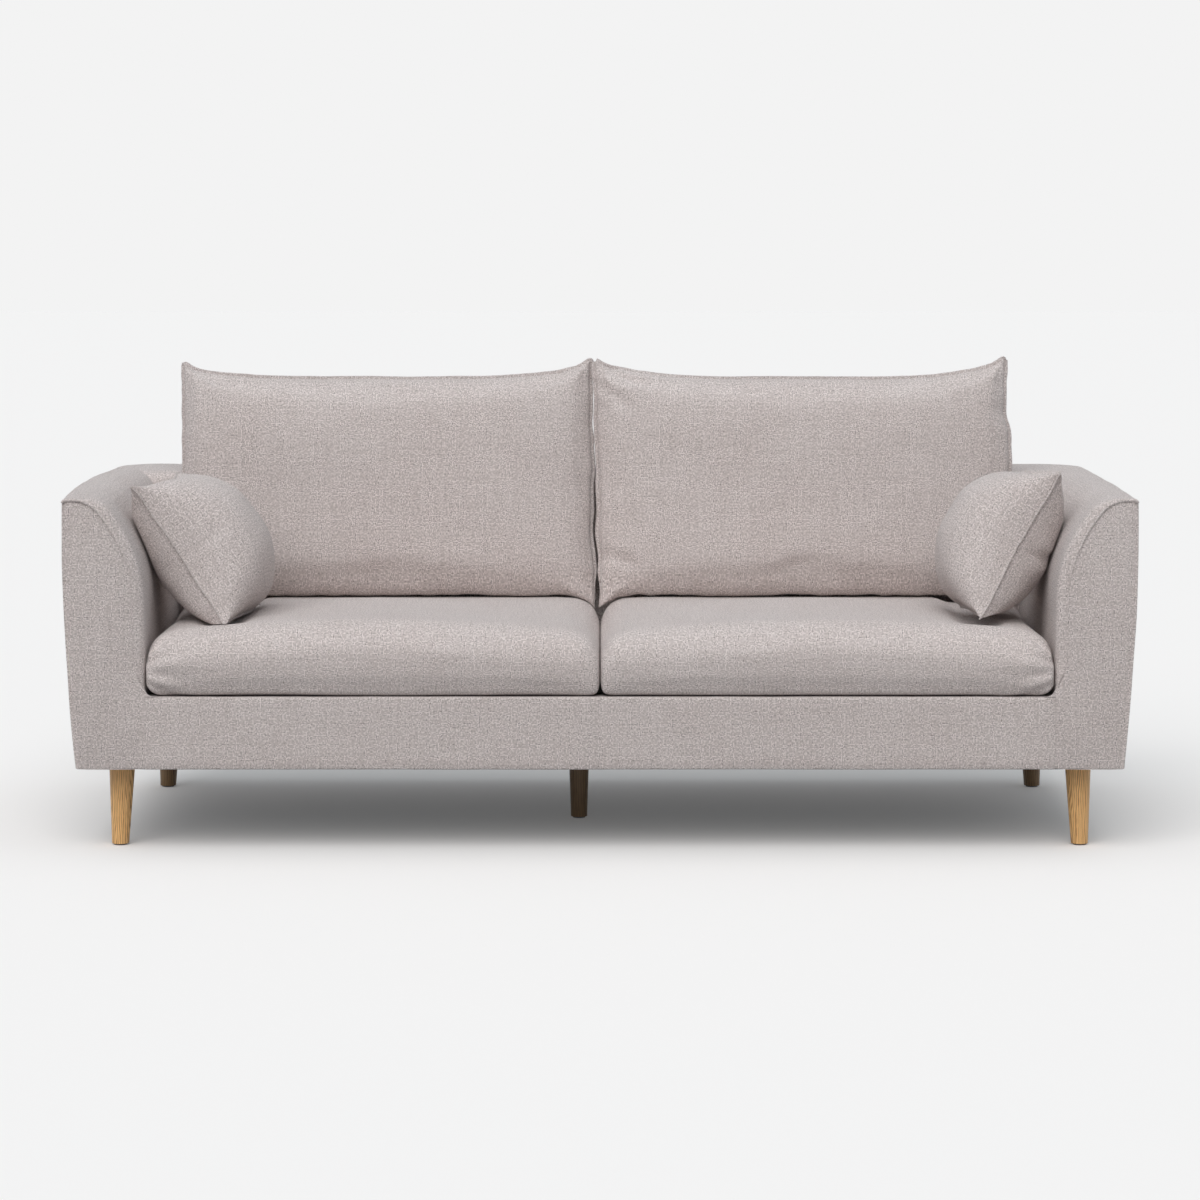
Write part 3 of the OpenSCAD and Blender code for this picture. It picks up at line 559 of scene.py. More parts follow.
def backWrap():
    turn = math.radians(armForm["curveTurn"])
    big, small = armForm["curveRadius"], armForm["topRadius"]
    topX = innerX + big - (big - small) * math.cos(turn)
    radius, edge, corner = backForm["topRadius"], armForm["edgeRadius"], backForm["cornerRadius"]
    lean = math.radians(backForm["lean"])
    arcZ = armTop - radius
    levels = [(baseZ, None), (baseZ + 0.002, None)]
    levels += [(baseZ + 0.006 + (arcZ - baseZ - 0.006) * k / 16, None) for k in range(16)]
    for k in range(9):
        a = math.pi / 2 * k / 8
        levels.append((arcZ + radius * math.sin(a), a))
    rings = []
    for z, a in levels:
        if a is None:
            faceY = backFaceY(z)
        else:
            middle = backFaceY(arcZ) + radius / math.cos(lean)
            faceY = middle - radius * math.cos(a) / math.cos(lean)
            faceY += radius * math.sin(lean) * math.sin(a) * (1 - math.sin(a))
        over = max(0.0, z - (armTop - edge))
        tuck = edge - math.sqrt(max(edge ** 2 - over ** 2, 0.0))
        sideX = outerX(min(z, armTop - 0.0001)) - tuck
        ring = [Vector((topX * (2 * k / 40 - 1), faceY, z)) for k in range(41)]
        seamY = armForm["endY"]
        hiddenY = seamY - backForm["tuck"]
        # tucked under the arm's wrap, it comes up at the seam
        right = [Vector((topX, hiddenY, z)), Vector((sideX - 0.012, hiddenY, z)),
                 Vector((sideX - 0.003, seamY - 0.018, z)), Vector((sideX - 0.0022, seamY - 0.002, z)),
                 Vector((sideX, seamY + 0.0015, z)), Vector((sideX, seamY + 0.006, z))]
        for k in range(13):
            b = math.pi / 2 * k / 12
            r = corner - tuck
            cornerX = halfWidth - corner + r * math.cos(b)
            right.append(Vector((min(cornerX, sideX), rearY - corner + r * math.sin(b), z)))
        ring += right
        ring += [Vector(((halfWidth - corner) * (1 - 2 * k / 40), rearY - tuck, z)) for k in range(1, 40)]
        ring += [Vector((-p.x, p.y, p.z)) for p in reversed(right)]
        rings.append(ring)
    bm = bmesh.new()
    ringSkin(bm, rings)
    roughen(bm, 0.2, backForm["roughness"], 9.0)
    bm.normal_update()
    flatWeave(bm)
    piece = newPiece(bm, "back_wrap", clothBody)
    addFiner(piece)
    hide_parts("back_cover", "back_outer_panel")
    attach(piece, "frame")


backWrap()
print("back frame upholstered")


borderForm = {
    "shell": 0.002,
    "topRadius": 0.005,
    "lip": 0.060,          # how far it runs back over the rail
    "roughness": 0.0008,
}


def frontBorder():
    bm = bmesh.new()
    r, t = borderForm["topRadius"], borderForm["shell"]
    for start, end in ((-innerX, 0.0), (0.0, innerX)):
        section = [(0.003, baseZ), (0.0008, baseZ + 0.0008), (0.0, baseZ + 0.003)]
        section += [(0.0, baseZ + 0.003 + (deckZ - r - baseZ - 0.003) * k / 6) for k in range(1, 7)]
        section += [(r - r * math.cos(math.pi / 2 * k / 5), deckZ - r + r * math.sin(math.pi / 2 * k / 5))
                    for k in range(1, 6)]
        section += [(borderForm["lip"], deckZ), (borderForm["lip"], deckZ - t), (r, deckZ - t)]
        section += [(t, deckZ - r), (t, baseZ + 0.003)]
        spots = [start + 0.0002, start + 0.0008, start + 0.002]
        spots += [start + (end - start) * k / 24 for k in range(1, 24)]
        spots += [end - 0.002, end - 0.0008, end - 0.0002]
        sink = [0.0010, 0.0004, 0.0] + [0.0] * 23 + [0.0, 0.0004, 0.0010]
        ringSkin(bm, [[Vector((x, frontY + d + s, z)) for d, z in section] for x, s in zip(spots, sink)])
    roughen(bm, 0.14, borderForm["roughness"], 5.0)
    flatWeave(bm)
    piece = newPiece(bm, "front_border_cloth", clothBody)
    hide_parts("front_border")
    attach(piece, "frame")


frontBorder()
print("front border made")


coverCloth = {
    "mass": 0.25,
    "tension": 15.0,
    "shear": 5.0,
    "bending": 0.5,
}


def settle(piece, frames, pressure, cap):
    # cloth blown up by its filling, with its travel capped
    scene = bpy.context.scene
    before = [v.co.copy() for v in piece.data.vertices]
    cloth = piece.modifiers.new("cloth", "CLOTH")
    s = cloth.settings
    s.quality = 6
    s.mass = coverCloth["mass"]
    s.tension_stiffness = s.compression_stiffness = coverCloth["tension"]
    s.shear_stiffness = coverCloth["shear"]
    s.bending_stiffness = coverCloth["bending"]
    s.use_pressure = True
    s.uniform_pressure_force = pressure
    s.effector_weights.gravity = 0
    cloth.collision_settings.use_collision = False
    cloth.point_cache.frame_start = 1
    cloth.point_cache.frame_end = frames
    for n in range(1, frames + 1):
        scene.frame_set(n)
    shaped = bpy.data.meshes.new_from_object(piece.evaluated_get(bpy.context.evaluated_depsgraph_get()))
    piece.modifiers.remove(cloth)
    for vert, old, new in zip(piece.data.vertices, before, shaped.vertices):
        move = new.co - old
        if move.length > cap:
            move *= cap / move.length
        vert.co = old + move
    bpy.data.meshes.remove(shaped)
    scene.frame_set(1)


def twoPanels(name, width, height, cell, finish):
    # two flat panels sewn at their edges, lying in X and Y
    thick = cushionForm["edgeThickness"]
    columns, rows = round(width / cell), round(height / cell)
    bm = bmesh.new()
    bmesh.ops.create_grid(bm, x_segments=columns, y_segments=rows, size=0.5)
    bmesh.ops.scale(bm, vec=(width, height, 1), verts=bm.verts[:])
    bmesh.ops.translate(bm, vec=(0, 0, -thick / 2), verts=bm.verts[:])
    border = [edge for edge in bm.edges if edge.is_boundary]
    panel = bm.faces[:]
    # the upper panel is made point by point, as an extruded one fills a little differently in each run
    upper = [bm.verts.new((v.co.x, v.co.y, thick / 2)) for v in bm.verts[:]]
    bm.verts.index_update()
    for face in panel:
        bm.faces.new([upper[v.index] for v in face.verts])
    for edge in border:
        start, end = edge.verts
        bm.faces.new((start, end, upper[end.index], upper[start.index]))
    evenNormals(bm)
    rim = bm.faces.layers.int.new("rim")
    for face in bm.faces:
        face[rim] = 1 if abs(face.normal.z) < 0.5 else 0
    return newPiece(bm, name, finish)


def sewLip(piece, reach, floor=-1.0):
    # the seam stands out as a thin double edge, lying flat below the given height
    bm = bmesh.new()
    bm.from_mesh(piece.data)
    rim = bm.faces.layers.int["rim"]
    band = [f for f in bm.faces if f[rim] == 1]
    bm.normal_update()
    outward = {}
    for face in band:
        for vert in face.verts:
            outward.setdefault(vert, Vector())
            outward[vert] += face.normal
    made = bmesh.ops.extrude_face_region(bm, geom=band)["geom"]
    fresh = [g for g in made if isinstance(g, bmesh.types.BMVert)]
    for vert in fresh:
        old = min(outward, key=lambda v: (v.co - vert.co).length_squared)
        vert.co += outward[old].normalized() * reach * (0.15 + 0.85 * smoothly((old.co.y - floor) / 0.03))
        vert.co.z *= 0.75
    for vert in outward:
        # a groove where the seam runs
        vert.co.z *= 0.4
    bmesh.ops.delete(bm, geom=[f for f in band if f.is_valid], context="FACES_ONLY")
    evenNormals(bm)
    bm.to_mesh(piece.data)
    bm.free()


cushionForm = {
    "backCell": 0.011,     # mesh cells, metres
    "pillowCell": 0.0075,
    "seatCell": 0.011,
    "lip": 0.0078,         # how far the sewn edge stands out
    "edgeThickness": 0.006,
}


def swell(t, flat, turn):
    # share of the full depth at a fraction of the half width
    return (1 - min(abs(t), 1.0) ** flat) ** turn


def shapeCushion(piece, width, height, form):
    # gives the two flat panels their crown and pulls the sides in between the corners
    for vert in piece.data.vertices:
        p = vert.co
        u, v = 2 * p.x / width, 2 * p.y / height
        # cells crowd towards the seams
        u, v = math.sin(u * math.pi / 2), math.sin(v * math.pi / 2)
        deep = form["front"] if p.z > 0 else form["rear"]
        side = 1 if p.z > 0 else -1
        crown = deep * swell(u, *form["fullness"]) * swell(v, *form["fullness" if v > 0 else "fullnessLow"])
        dip = form["dipTop"] if v > 0 else form["dipLow"]
        p.x = u * (width / 2 - form["bow"] * (1 - v * v))
        p.y = v * (height / 2 - dip * (1 - abs(u) ** form["ear"]))
        p.z = side * (form["edge"] + crown)
    piece.data.update()


def crease(piece, lines):
    # folds drawn into a panel along short lines: panel, start, end, depth, breadth
    for vert in piece.data.vertices:
        p = vert.co
        for panel, start, end, depth, breadth in lines:
            if p.z * panel < 0.001:
                continue
            a, b = Vector(start), Vector(end)
            t = min(max((p.xy - a).dot(b - a) / (b - a).length_squared, 0.0), 1.0)
            off = (p.xy - a.lerp(b, t)).length / breadth
            fade = math.sin(math.pi * min(max(t, 0.02), 0.98)) ** 0.5
            p.z -= panel * depth * fade * (math.exp(-off ** 2) - 0.45 * math.exp(-(off - 1.7) ** 2))


def fitCushion(piece, width, height, front, rear):
    # brings a filled cushion back to its finished size
    spots = [v.co for v in piece.data.vertices]
    wide = max(abs(p.x) for p in spots) * 2
    tall = max(abs(p.y) for p in spots) * 2
    deepFront = max(p.z for p in spots)
    deepRear = -min(p.z for p in spots)
    for p in spots:
        p.x *= width / wide
        p.y *= height / tall
        p.z *= front / deepFront if p.z > 0 else rear / deepRear


def pucker(piece, width, height, reach, depth, seed):
    # short gathers that run in from the seams
    spots = piece.data.vertices
    normals = [v.normal.copy() for v in spots]
    for vert, normal in zip(spots, normals):
        p = vert.co
        toSide = width / 2 - abs(p.x)
        toEnd = height / 2 - abs(p.y)
        near = min(toSide, toEnd)
        run = p.y if toSide < toEnd else p.x
        fade = math.exp(-(max(near, 0.0) / reach) ** 2) * smoothly(near / 0.006)
        wave = noise.fractal(Vector((run * 38, near * 7, seed + (1 if p.z > 0 else -1))), 0.7, 2.0, 3)
        patch = 0.35 + 0.65 * smoothly(noise.noise(Vector((run * 6, seed * 3, 0))) + 0.5)
        vert.co = p + normal * wave * depth * fade * patch


def softDents(piece, size, depth, seed):
    spots = piece.data.vertices
    normals = [v.normal.copy() for v in spots]
    for vert, normal in zip(spots, normals):
        p = vert.co
        vert.co = p + normal * noise.fractal(p / size + Vector((seed, 0, seed * 2)), 0.5, 2.0, 2) * depth


def pressOn(piece, floor, soft):
    # flattens what would reach below the floor, whose height depends on x and y
    for vert in piece.data.vertices:
        above = vert.co.z - floor(vert.co.x, vert.co.y)
        if above < soft:
            vert.co.z += soft * math.exp((above - soft) / soft) - above


def layWeave(piece):
    bm = bmesh.new()
    bm.from_mesh(piece.data)
    bm.normal_update()
    flatWeave(bm)
    bm.to_mesh(piece.data)
    bm.free()


backCushionForm = {
    "front": 0.084,
    "rear": 0.046,
    "edge": 0.003,
    "dipTop": 0.024,
    "dipLow": 0.0,
    "bow": 0.003,
    "height": 0.501,
    "ear": 5.0,
    "fullness": (3.4, 0.52),
    "fullnessLow": (8.0, 0.44),
    "startDepth": (0.076, 0.040),   # front and rear crown before it is filled
    "droop": 0.024,        # of the inner lower corners
    "jointLean": 0.024,
    "jointWave": 0.009,
    "wideTop": 0.013,      # how far the right cushion reaches out above the arm
    "cornerLift": 0.012,   # of its outer upper corner
    "innerLift": 0.007,    # of the upper corners at the joint
    # folds of the right cushion: panel, start, end, depth, breadth
    "creases": [(1, (-0.425, 0.225), (-0.33, 0.195), 0.007, 0.010),
                (1, (-0.43, 0.20), (-0.36, 0.14), 0.006, 0.010),
                (1, (-0.40, 0.235), (-0.24, 0.222), 0.005, 0.009),
                (1, (-0.43, -0.16), (-0.35, -0.19), 0.006, 0.012),
                (1, (-0.05, -0.20), (0.02, -0.17), 0.004, 0.012)],
    "overlap": 0.0040,     # how far the two cushions' seams lap at the middle
}


def backCushion(word):
    side = -1 if word == "left" else 1
    low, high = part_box("back_cushion_cover_" + word)
    lean = math.radians(backForm["lean"])
    width, height = high.x - low.x, backCushionForm["height"]
    piece = twoPanels("back_cushion_" + word, width, height, cushionForm["backCell"], clothCushion)
    front, rear = backCushionForm["startDepth"]
    shapeCushion(piece, width - 0.006, height - 0.006, {**backCushionForm, "front": front, "rear": rear})
    settle(piece, 12, 3.0, 0.012)
    fitCushion(piece, width - 0.014, height - 0.010, backCushionForm["front"], backCushionForm["rear"])
    pucker(piece, width, height, 0.035, 0.005, 2.0 + side)
    softDents(piece, 0.22, 0.003, 5.0 + side)
    sewLip(piece, cushionForm["lip"], -height / 2 + 0.03)
    layWeave(piece)
    if side > 0:
        crease(piece, backCushionForm["creases"])
    for vert in piece.data.vertices:
        # the inner edges lap, the right one in front
        p = vert.co
        inner = smoothly((-side * p.x - width / 2 + 0.10) / 0.10)
        outer = smoothly((side * p.x - width / 2 + 0.08) / 0.08)
        under = smoothly((-p.y - height / 2 + 0.05) / 0.04)
        p.y -= (0.010 + 0.009 * smoothly(p.z / 0.035)) * under
        p.y -= backCushionForm["droop"] * inner ** 2 * smoothly((-p.y - height / 2 + 0.09) / 0.09)
        if side > 0:
            p.x += backCushionForm["wideTop"] * outer * smoothly((p.y + 0.09) / 0.08)
            p.x -= 0.011 * outer * smoothly((p.y - 0.105) / 0.03)
            reach = smoothly((p.x - width / 2 + 0.22) / 0.22)
            p.y += backCushionForm["cornerLift"] * reach * smoothly((p.y - 0.16) / 0.08)
        p.x -= side * backCushionForm["overlap"] * inner
        # the joint leans and waves, and its upper corners stand up
        near = smoothly((-side * p.x - width / 2 + 0.25) / 0.25)
        wave = noise.noise(Vector((0, p.y * 13, 4.0)))
        p.x += (0.002 - backCushionForm["jointLean"] * p.y) * near
        p.x += backCushionForm["jointWave"] * wave * inner ** 3
        p.y += backCushionForm["innerLift"] * near * smoothly((p.y - 0.16) / 0.08)
        p.z += (0.007 if side > 0 else -0.003) * inner ** 4
    middleZ = (low.z + high.z) / 2
    middleY = backFaceY(middleZ) - (backCushionForm["rear"] + 2 * backCushionForm["edge"]) / math.cos(lean)
    piece.data.transform(Matrix.Translation(((low.x + high.x) / 2, middleY, middleZ))
                         @ Matrix.Rotation(math.pi / 2 - lean, 4, "X"))
    pressOn(piece, seatHeight, 0.003)
    addFiner(piece)
    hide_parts("back_cushion_cover_" + word, "back_cushion_fill_" + word)
    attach(piece, "back_cushion_" + word)


pillowForm = {
    "left": {"size": 0.346, "front": 0.137, "rear": 0.096, "yaw": 9.5, "tilt": 33.9, "roll": 0.0,
             "offset": (-0.012, -0.016, 0.1395)},
    "right": {"size": 0.337, "front": 0.131, "rear": 0.098, "yaw": 3.5, "tilt": 29.0, "roll": 3.5,
              "offset": (0.018, -0.009, 0.1515)},
    "edge": 0.0025,
    "dipTop": 0.016,
    "dipLow": 0.008,
    "bow": 0.017,
    "ear": 2.2,
    "fullness": (2.4, 0.62),
    "fullnessLow": (2.4, 0.62),
    "creases": {
        "left": [(1, (0.165, -0.007), (0.105, 0.004), 0.006, 0.009),
                 (-1, (0.165, -0.007), (0.12, -0.012), 0.005, 0.009)],
        "right": [(-1, (0.165, -0.020), (0.04, 0.035), 0.008, 0.011),
                  (1, (0.165, -0.020), (0.12, -0.015), 0.005, 0.009)],
    },
    "notch": {"left": -0.007, "right": -0.020},
    "notchDepth": 0.005,
    "wander": 0.006,       # of the front seam
    "push": (0.024, 0.016),     # of the rear lower corner
    "armClear": 0.0115,    # how far from the arm's face it starts to flatten
    "armSoft": 0.009,
}


def scatterCushion(word):
    side = -1 if word == "left" else 1
    form = {**pillowForm, **pillowForm[word]}
    size = form["size"]
    piece = twoPanels("scatter_cushion_" + word, size, size, cushionForm["pillowCell"], clothCushion)
    shapeCushion(piece, size - 0.004, size - 0.004,
                 {**form, "front": form["front"] - 0.008, "rear": form["rear"] - 0.006})
    settle(piece, 12, 3.0, 0.010)
    fitCushion(piece, size - 0.010, size - 0.010, form["front"], form["rear"])
    crease(piece, pillowForm["creases"][word])
    pucker(piece, size, size, 0.03, 0.004, 12.0 + side)
    softDents(piece, 0.12, 0.003, 15.0 + side)
    sewLip(piece, cushionForm["lip"] * 0.7)
    layWeave(piece)
    for vert in piece.data.vertices:
        # the front seam wanders and is nicked, the rear lower corner is pushed in
        p = vert.co
        seam = smoothly((p.x - size / 2 + 0.035) / 0.03)
        p.x -= form["notchDepth"] * seam * math.exp(-((p.y - form["notch"][word]) / 0.011) ** 2)
        p.z += form["wander"] * seam * noise.noise(Vector((side * 3.1, p.y * 17, 0.4)))
        corner = smoothly((-p.x - p.y - size + 0.13) / 0.12)
        p.x += form["push"][0] * corner
        p.y += form["push"][1] * corner
    move = (Matrix.Rotation(math.radians(form["yaw"]), 4, "Z")
            @ Matrix.Rotation(math.radians(form["tilt"]), 4, "Y")
            @ Matrix.Rotation(-math.pi / 2, 4, "Z") @ Matrix.Rotation(math.pi / 2, 4, "X")
            @ Matrix.Rotation(math.radians(form["roll"]), 4, "Z"))
    piece.data.transform(move)
    if side < 0:
        piece.data.transform(Matrix.Scale(-1, 4, (1, 0, 0)))
        piece.data.flip_normals()
    low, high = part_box("pillow_cover_" + word)
    piece.data.transform(Matrix.Translation(
        Vector(((low.x + high.x) / 2, (low.y + high.y) / 2, low.z)) + Vector(form["offset"])))
    pressOn(piece, seatHeight, 0.004)
    for vert in piece.data.vertices:
        # flattened where it leans on the arm
        beyond = side * vert.co.x - armFaceX(vert.co.z) + form["armClear"]
        if beyond > 0:
            soft = form["armSoft"]
            vert.co.x -= side * (beyond - soft * (1 - math.exp(-beyond / soft)))
    addFiner(piece)
    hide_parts("pillow_cover_" + word, "pillow_fill_" + word)
    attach(piece, "scatter_cushion_" + word)


seatForm = {
    "outer": 0.046,        # rounding towards the arm
    "outerLow": 0.028,
    "inner": 0.014,        # rounding at the joint between the two cushions
    "innerTop": 0.042,
    "front": 0.056,
    "frontLow": 0.010,
    "rear": 0.030,
    "topRound": 0.060,
    "lowRound": 0.030,
    "crown": 0.028,
    "edgeDrop": 0.013,
    "belly": 0.007,        # swell of the front face
    "troughDepth": 0.013,  # where the scatter cushion presses in
    "gather": 0.006,
    "flatRise": 0.0027,    # most that the top stands up under the back cushion
    "overhang": (0.002, 0.003),  # past the box of its frame part, at the side and the front
}


def roundedPoint(q, low, high, loose, tight):
    # draws a point on a box on to the same box with rounded edges
    # loose and tight are the radii at its two ends
    inner = Vector([min(max(q[k], low[k] + loose[k]), high[k] - tight[k]) for k in range(3)])
    away = q - inner
    reach = Vector([loose[k] if away[k] < 0 else tight[k] for k in range(3)])
    share = Vector([away[k] / reach[k] for k in range(3)])
    if share.length < 1e-9:
        return q.copy()
    share.normalize()
    return inner + Vector([share[k] * reach[k] for k in range(3)])


def seatCushion(word):
    side = -1 if word == "left" else 1
    node = "seat_cushion_cover_" + word
    low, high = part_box(node)
    if side < 0:
        low, high = Vector((-high.x, low.y, low.z)), Vector((-low.x, high.y, high.z))
    high.x += seatForm["overhang"][0]
    low.y -= seatForm["overhang"][1]
    bm = bmesh.new()
    bmesh.ops.create_cube(bm, size=1.0)
    counts = [round((high[k] - low[k]) / cushionForm["seatCell"]) for k in range(3)]
    for k in range(3):
        along = [e for e in bm.edges if abs((e.verts[0].co - e.verts[1].co)[k]) > 0.99]
        bmesh.ops.subdivide_edges(bm, edges=along, cuts=counts[k], use_grid_fill=True)
    pillowLow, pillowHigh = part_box("pillow_cover_" + word)
    tipX = min(abs(pillowLow.x), abs(pillowHigh.x)) + 0.078
    tipY = pillowLow.y + 0.03
    for vert in bm.verts:
        q = Vector([low[k] + (vert.co[k] + 0.5) * (high[k] - low[k]) for k in range(3)])
        upper = smoothly((q.z - low.z) / (high.z - low.z) * 1.6 - 0.3)
        lowRound = 0.010 + (seatForm["lowRound"] - 0.010) * smoothly((q.x - high.x + 0.09) / 0.06)
        inward = seatForm["inner"] + (seatForm["innerTop"] - seatForm["inner"]) * upper ** 2
        loose = (inward, seatForm["frontLow"] + (seatForm["front"] - seatForm["frontLow"]) * upper,
                 lowRound)
        tight = (seatForm["outerLow"] + (seatForm["outer"] - seatForm["outerLow"]) * upper,
                 seatForm["rear"], seatForm["topRound"])
        p = roundedPoint(q, low, high, loose, tight)
        t = (p.x - low.x) / (high.x - low.x)
        lift = (p.z - low.z) / (high.z - low.z)
        bump = 1 - ((t - 0.50) / 0.50) ** 2
        rise = (seatForm["crown"] * bump - seatForm["edgeDrop"]) * (1 - smoothly((p.y + 0.05) / 0.14) * 0.5)
        if rise > 0:
            rise = max(rise * (1 - smoothly((p.y + 0.02) / 0.09)), min(rise, seatForm["flatRise"]))
        pressed = smoothly((0.062 - abs(p.x - tipX)) / 0.05) * smoothly((p.y - tipY + 0.06) / 0.07)
        rise -= seatForm["troughDepth"] * pressed
        middle = 1 - (2 * lift - 1) ** 2
        frontShare = 1 - smoothly((p.y - low.y) / 0.08)
        p.y -= seatForm["belly"] * frontShare * middle
        p.z += rise * smoothly(lift * 1.2 - 0.1)
        vert.co = p
    evenNormals(bm)
    bm.normal_update()
    flatWeave(bm)
    piece = newPiece(bm, "seat_cushion_" + word, clothCushion)
    settle(piece, 10, 1.2, 0.004)
    softDents(piece, 0.25, 0.0022, 30.0 + side)
    spots = piece.data.vertices
    normals = [v.normal.copy() for v in spots]
    for vert, normal in zip(spots, normals):
        # gathers fan out from the outer front corner
        p = vert.co
        corner = Vector((high.x - 0.01, low.y + 0.02, low.z + 0.055))
        away = p - corner
        fade = math.exp(-(away.length / 0.075) ** 2)
        fan = math.atan2(away.z, -away.y + 0.02 - away.x)
        p = p + normal * math.sin(fan * 13) * seatForm["gather"] * fade * smoothly(away.length / 0.02)
        # flat on the deck, and pressed up to the arm and to its neighbour
        top = high.z + 0.0026 + 0.030 * smoothly((0.09 - p.y) / 0.09)
        vert.co = (min(max(p.x, 0.0006), innerX - 0.0026), p.y, min(max(p.z, deckZ + 0.0018), top))
    if side < 0:
        piece.data.transform(Matrix.Scale(-1, 4, (1, 0, 0)))
        piece.data.flip_normals()
    addFiner(piece)
    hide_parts(node, "seat_cushion_foam_" + word)
    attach(piece, "seat_cushion_" + word)
    return piece


seatSpots, seatFaces = [], []
for word in ("left", "right"):
    seat = seatCushion(word).data
    seatFaces += [[len(seatSpots) + k for k in face.vertices] for face in seat.polygons]
    seatSpots += [v.co.copy() for v in seat.vertices]
seatSkin = BVHTree.FromPolygons(seatSpots, seatFaces)


def seatHeight(x, y):
    # what lies on the seat rests just clear of it
    hit = seatSkin.ray_cast(Vector((x, y, armTop)), Vector((0, 0, -1)))[0]
    return hit.z + 0.0008 if hit else deckZ


for word in ("left", "right"):
    backCushion(word)
    scatterCushion(word)
    print(word, "cushions filled")


studio = {
    "lens": 111.66,
    "camera": (0.0, -7.76, 1.3285),
    "pitch": 6.44,
    "paper": 0.896,          # how pale the backdrop shows
    "paperBounce": 0.38,     # how much of its light the floor gives back to the sofa
    "paperGlow": 0.10,
    "cool": (0.91, 1.0, 1.06),
    "sky": 0.46,
    "overhead": 0.38,
    "key": 1.86,
}


def makeStage():
    bm = bmesh.new()
    bmesh.ops.create_grid(bm, x_segments=2, y_segments=2, size=30)
    floor = newPiece(bm, "floor", None)
    floor.data.materials.clear()
    cool = [c * 0.55 + 0.45 for c in studio["cool"]]
    paper = Finish("paper_floor", 1.0, Specular_IOR_Level=0.0)
    direct = paper.node("ShaderNodeLightPath", {}, {}, output="Is Camera Ray")
    rays = direct.socket.node.outputs
    seen = direct.most(Wire(paper, rays["Is Glossy Ray"])).most(Wire(paper, rays["Is Transmission Ray"]))
    speck = paper.cloud(paper.place(), 3.0)
    tint = tuple(studio["paper"] / c for c in cool)
    pale = paper.mix(speck, tint, tuple(c * 1.002 for c in tint))
    colour = paper.mix(seen, (studio["paperBounce"],) * 3, pale)
    floor.data.materials.append(paper.finish(colour))
    out = paper.tree.nodes["Material Output"]
    glow = paper.node("ShaderNodeEmission", {}, {"Color": (studio["paper"],) * 3, "Strength": 1.0})
    both = paper.node("ShaderNodeMixShader", {}, {0: seen * studio["paperGlow"]})
    paper.tree.links.new(paper.shader.outputs[0], both.socket.node.inputs[1])
    paper.tree.links.new(glow.socket, both.socket.node.inputs[2])
    paper.tree.links.new(both.socket, out.inputs["Surface"])
    world = bpy.data.worlds.new("studio")
    bpy.context.scene.world = world
    world.use_nodes = True
    tree = world.node_tree
    tree.nodes.clear()
    out = tree.nodes.new("ShaderNodeOutputWorld")
    path = tree.nodes.new("ShaderNodeLightPath")
    seen = path.outputs["Is Camera Ray"]
    for ray in ("Is Glossy Ray", "Is Transmission Ray"):
        either = tree.nodes.new("ShaderNodeMath")
        either.operation = "MAXIMUM"
        tree.links.new(seen, either.inputs[0])
        tree.links.new(path.outputs[ray], either.inputs[1])
        seen = either.outputs[0]
    glow = tree.nodes.new("ShaderNodeBackground")
    glow.inputs["Color"].default_value = (*studio["cool"], 1)
    glow.inputs["Strength"].default_value = studio["sky"]
    card = tree.nodes.new("ShaderNodeBackground")
    card.inputs["Color"].default_value = (*(studio["paper"],) * 3, 1)
    mixer = tree.nodes.new("ShaderNodeMixShader")
    tree.links.new(seen, mixer.inputs[0])
    tree.links.new(glow.outputs[0], mixer.inputs[1])
    tree.links.new(card.outputs[0], mixer.inputs[2])
    tree.links.new(mixer.outputs[0], out.inputs["Surface"])


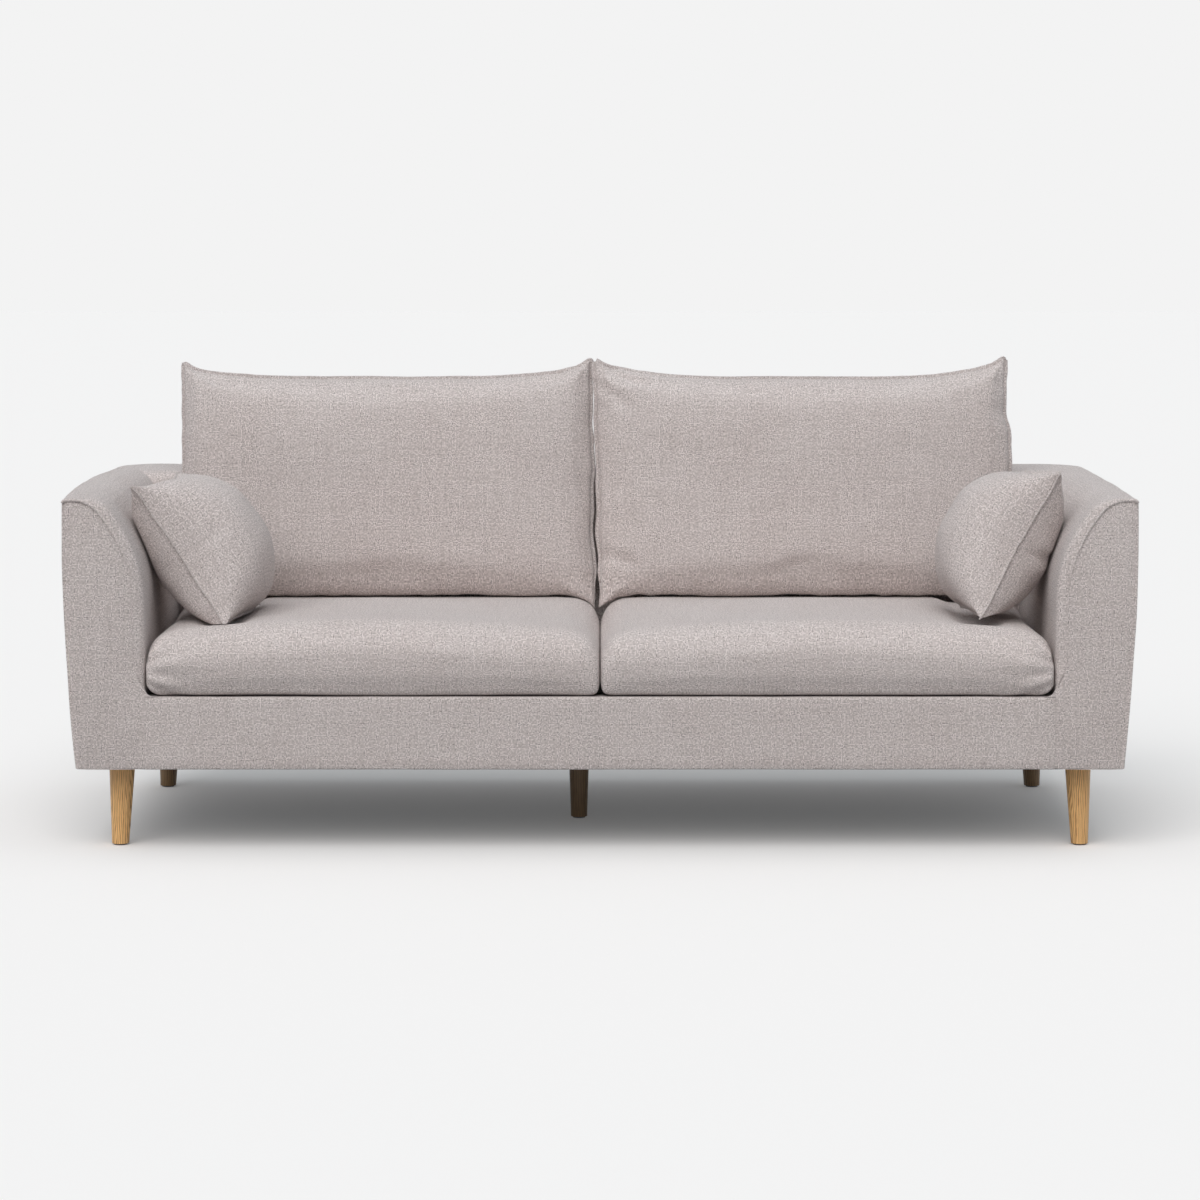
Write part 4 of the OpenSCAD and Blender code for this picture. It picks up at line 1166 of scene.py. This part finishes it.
def sunLamp(name, strength, spread, tilt, turn, tint=(1.0, 1.0, 1.0)):
    lamp = bpy.data.lights.new(name, "SUN")
    lamp.color = tint
    lamp.energy = strength
    lamp.angle = math.radians(spread)
    holder = bpy.data.objects.new(name, lamp)
    holder.rotation_euler = (math.radians(tilt), 0, math.radians(turn))
    bpy.context.scene.collection.objects.link(holder)


def makeCamera():
    view = bpy.data.cameras.new("camera")
    view.lens = studio["lens"]
    view.sensor_width = 36
    holder = bpy.data.objects.new("camera", view)
    holder.location = studio["camera"]
    holder.rotation_euler = (math.radians(90 - studio["pitch"]), 0, 0)
    bpy.context.scene.collection.objects.link(holder)
    bpy.context.scene.camera = holder


makeStage()
sunLamp("overhead", studio["overhead"], 70, 8, 0, studio["cool"])
sunLamp("key", studio["key"], 56, 44, -14)
makeCamera()
scene = bpy.context.scene
scene.view_settings.view_transform = "Standard"
print("stage lit")


carried = {
    pine: ["front_rail", "rear_rail", "seat_rear_rail", "side_rail_left", "side_rail_right",
           "centre_rail", "corner_blocks", "arm_top_rail_left", "arm_top_rail_right", "back_top_rail"],
    ply: ["arm_front_board_left", "arm_front_board_right", "arm_rear_board_left",
          "arm_rear_board_right", "back_board_left", "back_board_centre", "back_board_right"],
    strapCloth: ["seat_webbing", "seat_cross_webbing", "back_webbing"],
    foam: ["arm_padding_left", "arm_padding_right", "back_padding", "front_padding",
           "seat_cushion_foam_left", "seat_cushion_foam_right"],
    fibre: ["back_cushion_fill_left", "back_cushion_fill_right", "pillow_fill_left", "pillow_fill_right"],
    deckCloth: ["deck_cloth"],
    dustCloth: ["dust_cover"],
    oakFront: ["front_leg_left", "front_leg_right"],
    # painted shade: the rear and centre legs take the darkened copy of the oak
    oakPaintedShade: ["rear_leg_left", "rear_leg_right", "centre_leg"],
    glideStuff: ["leg_glides"],
    zinc: ["leg_plates", "leg_bolts", "plate_screws"],
    clothCushion: ["seat_cushion_cover_left", "seat_cushion_cover_right", "back_cushion_cover_left",
                   "back_cushion_cover_right", "pillow_cover_left", "pillow_cover_right"],
}
for stuff, names in carried.items():
    for name in names:
        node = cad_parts[name]
        node.data.materials.clear()
        node.data.materials.append(stuff)
print("frame pieces finished")
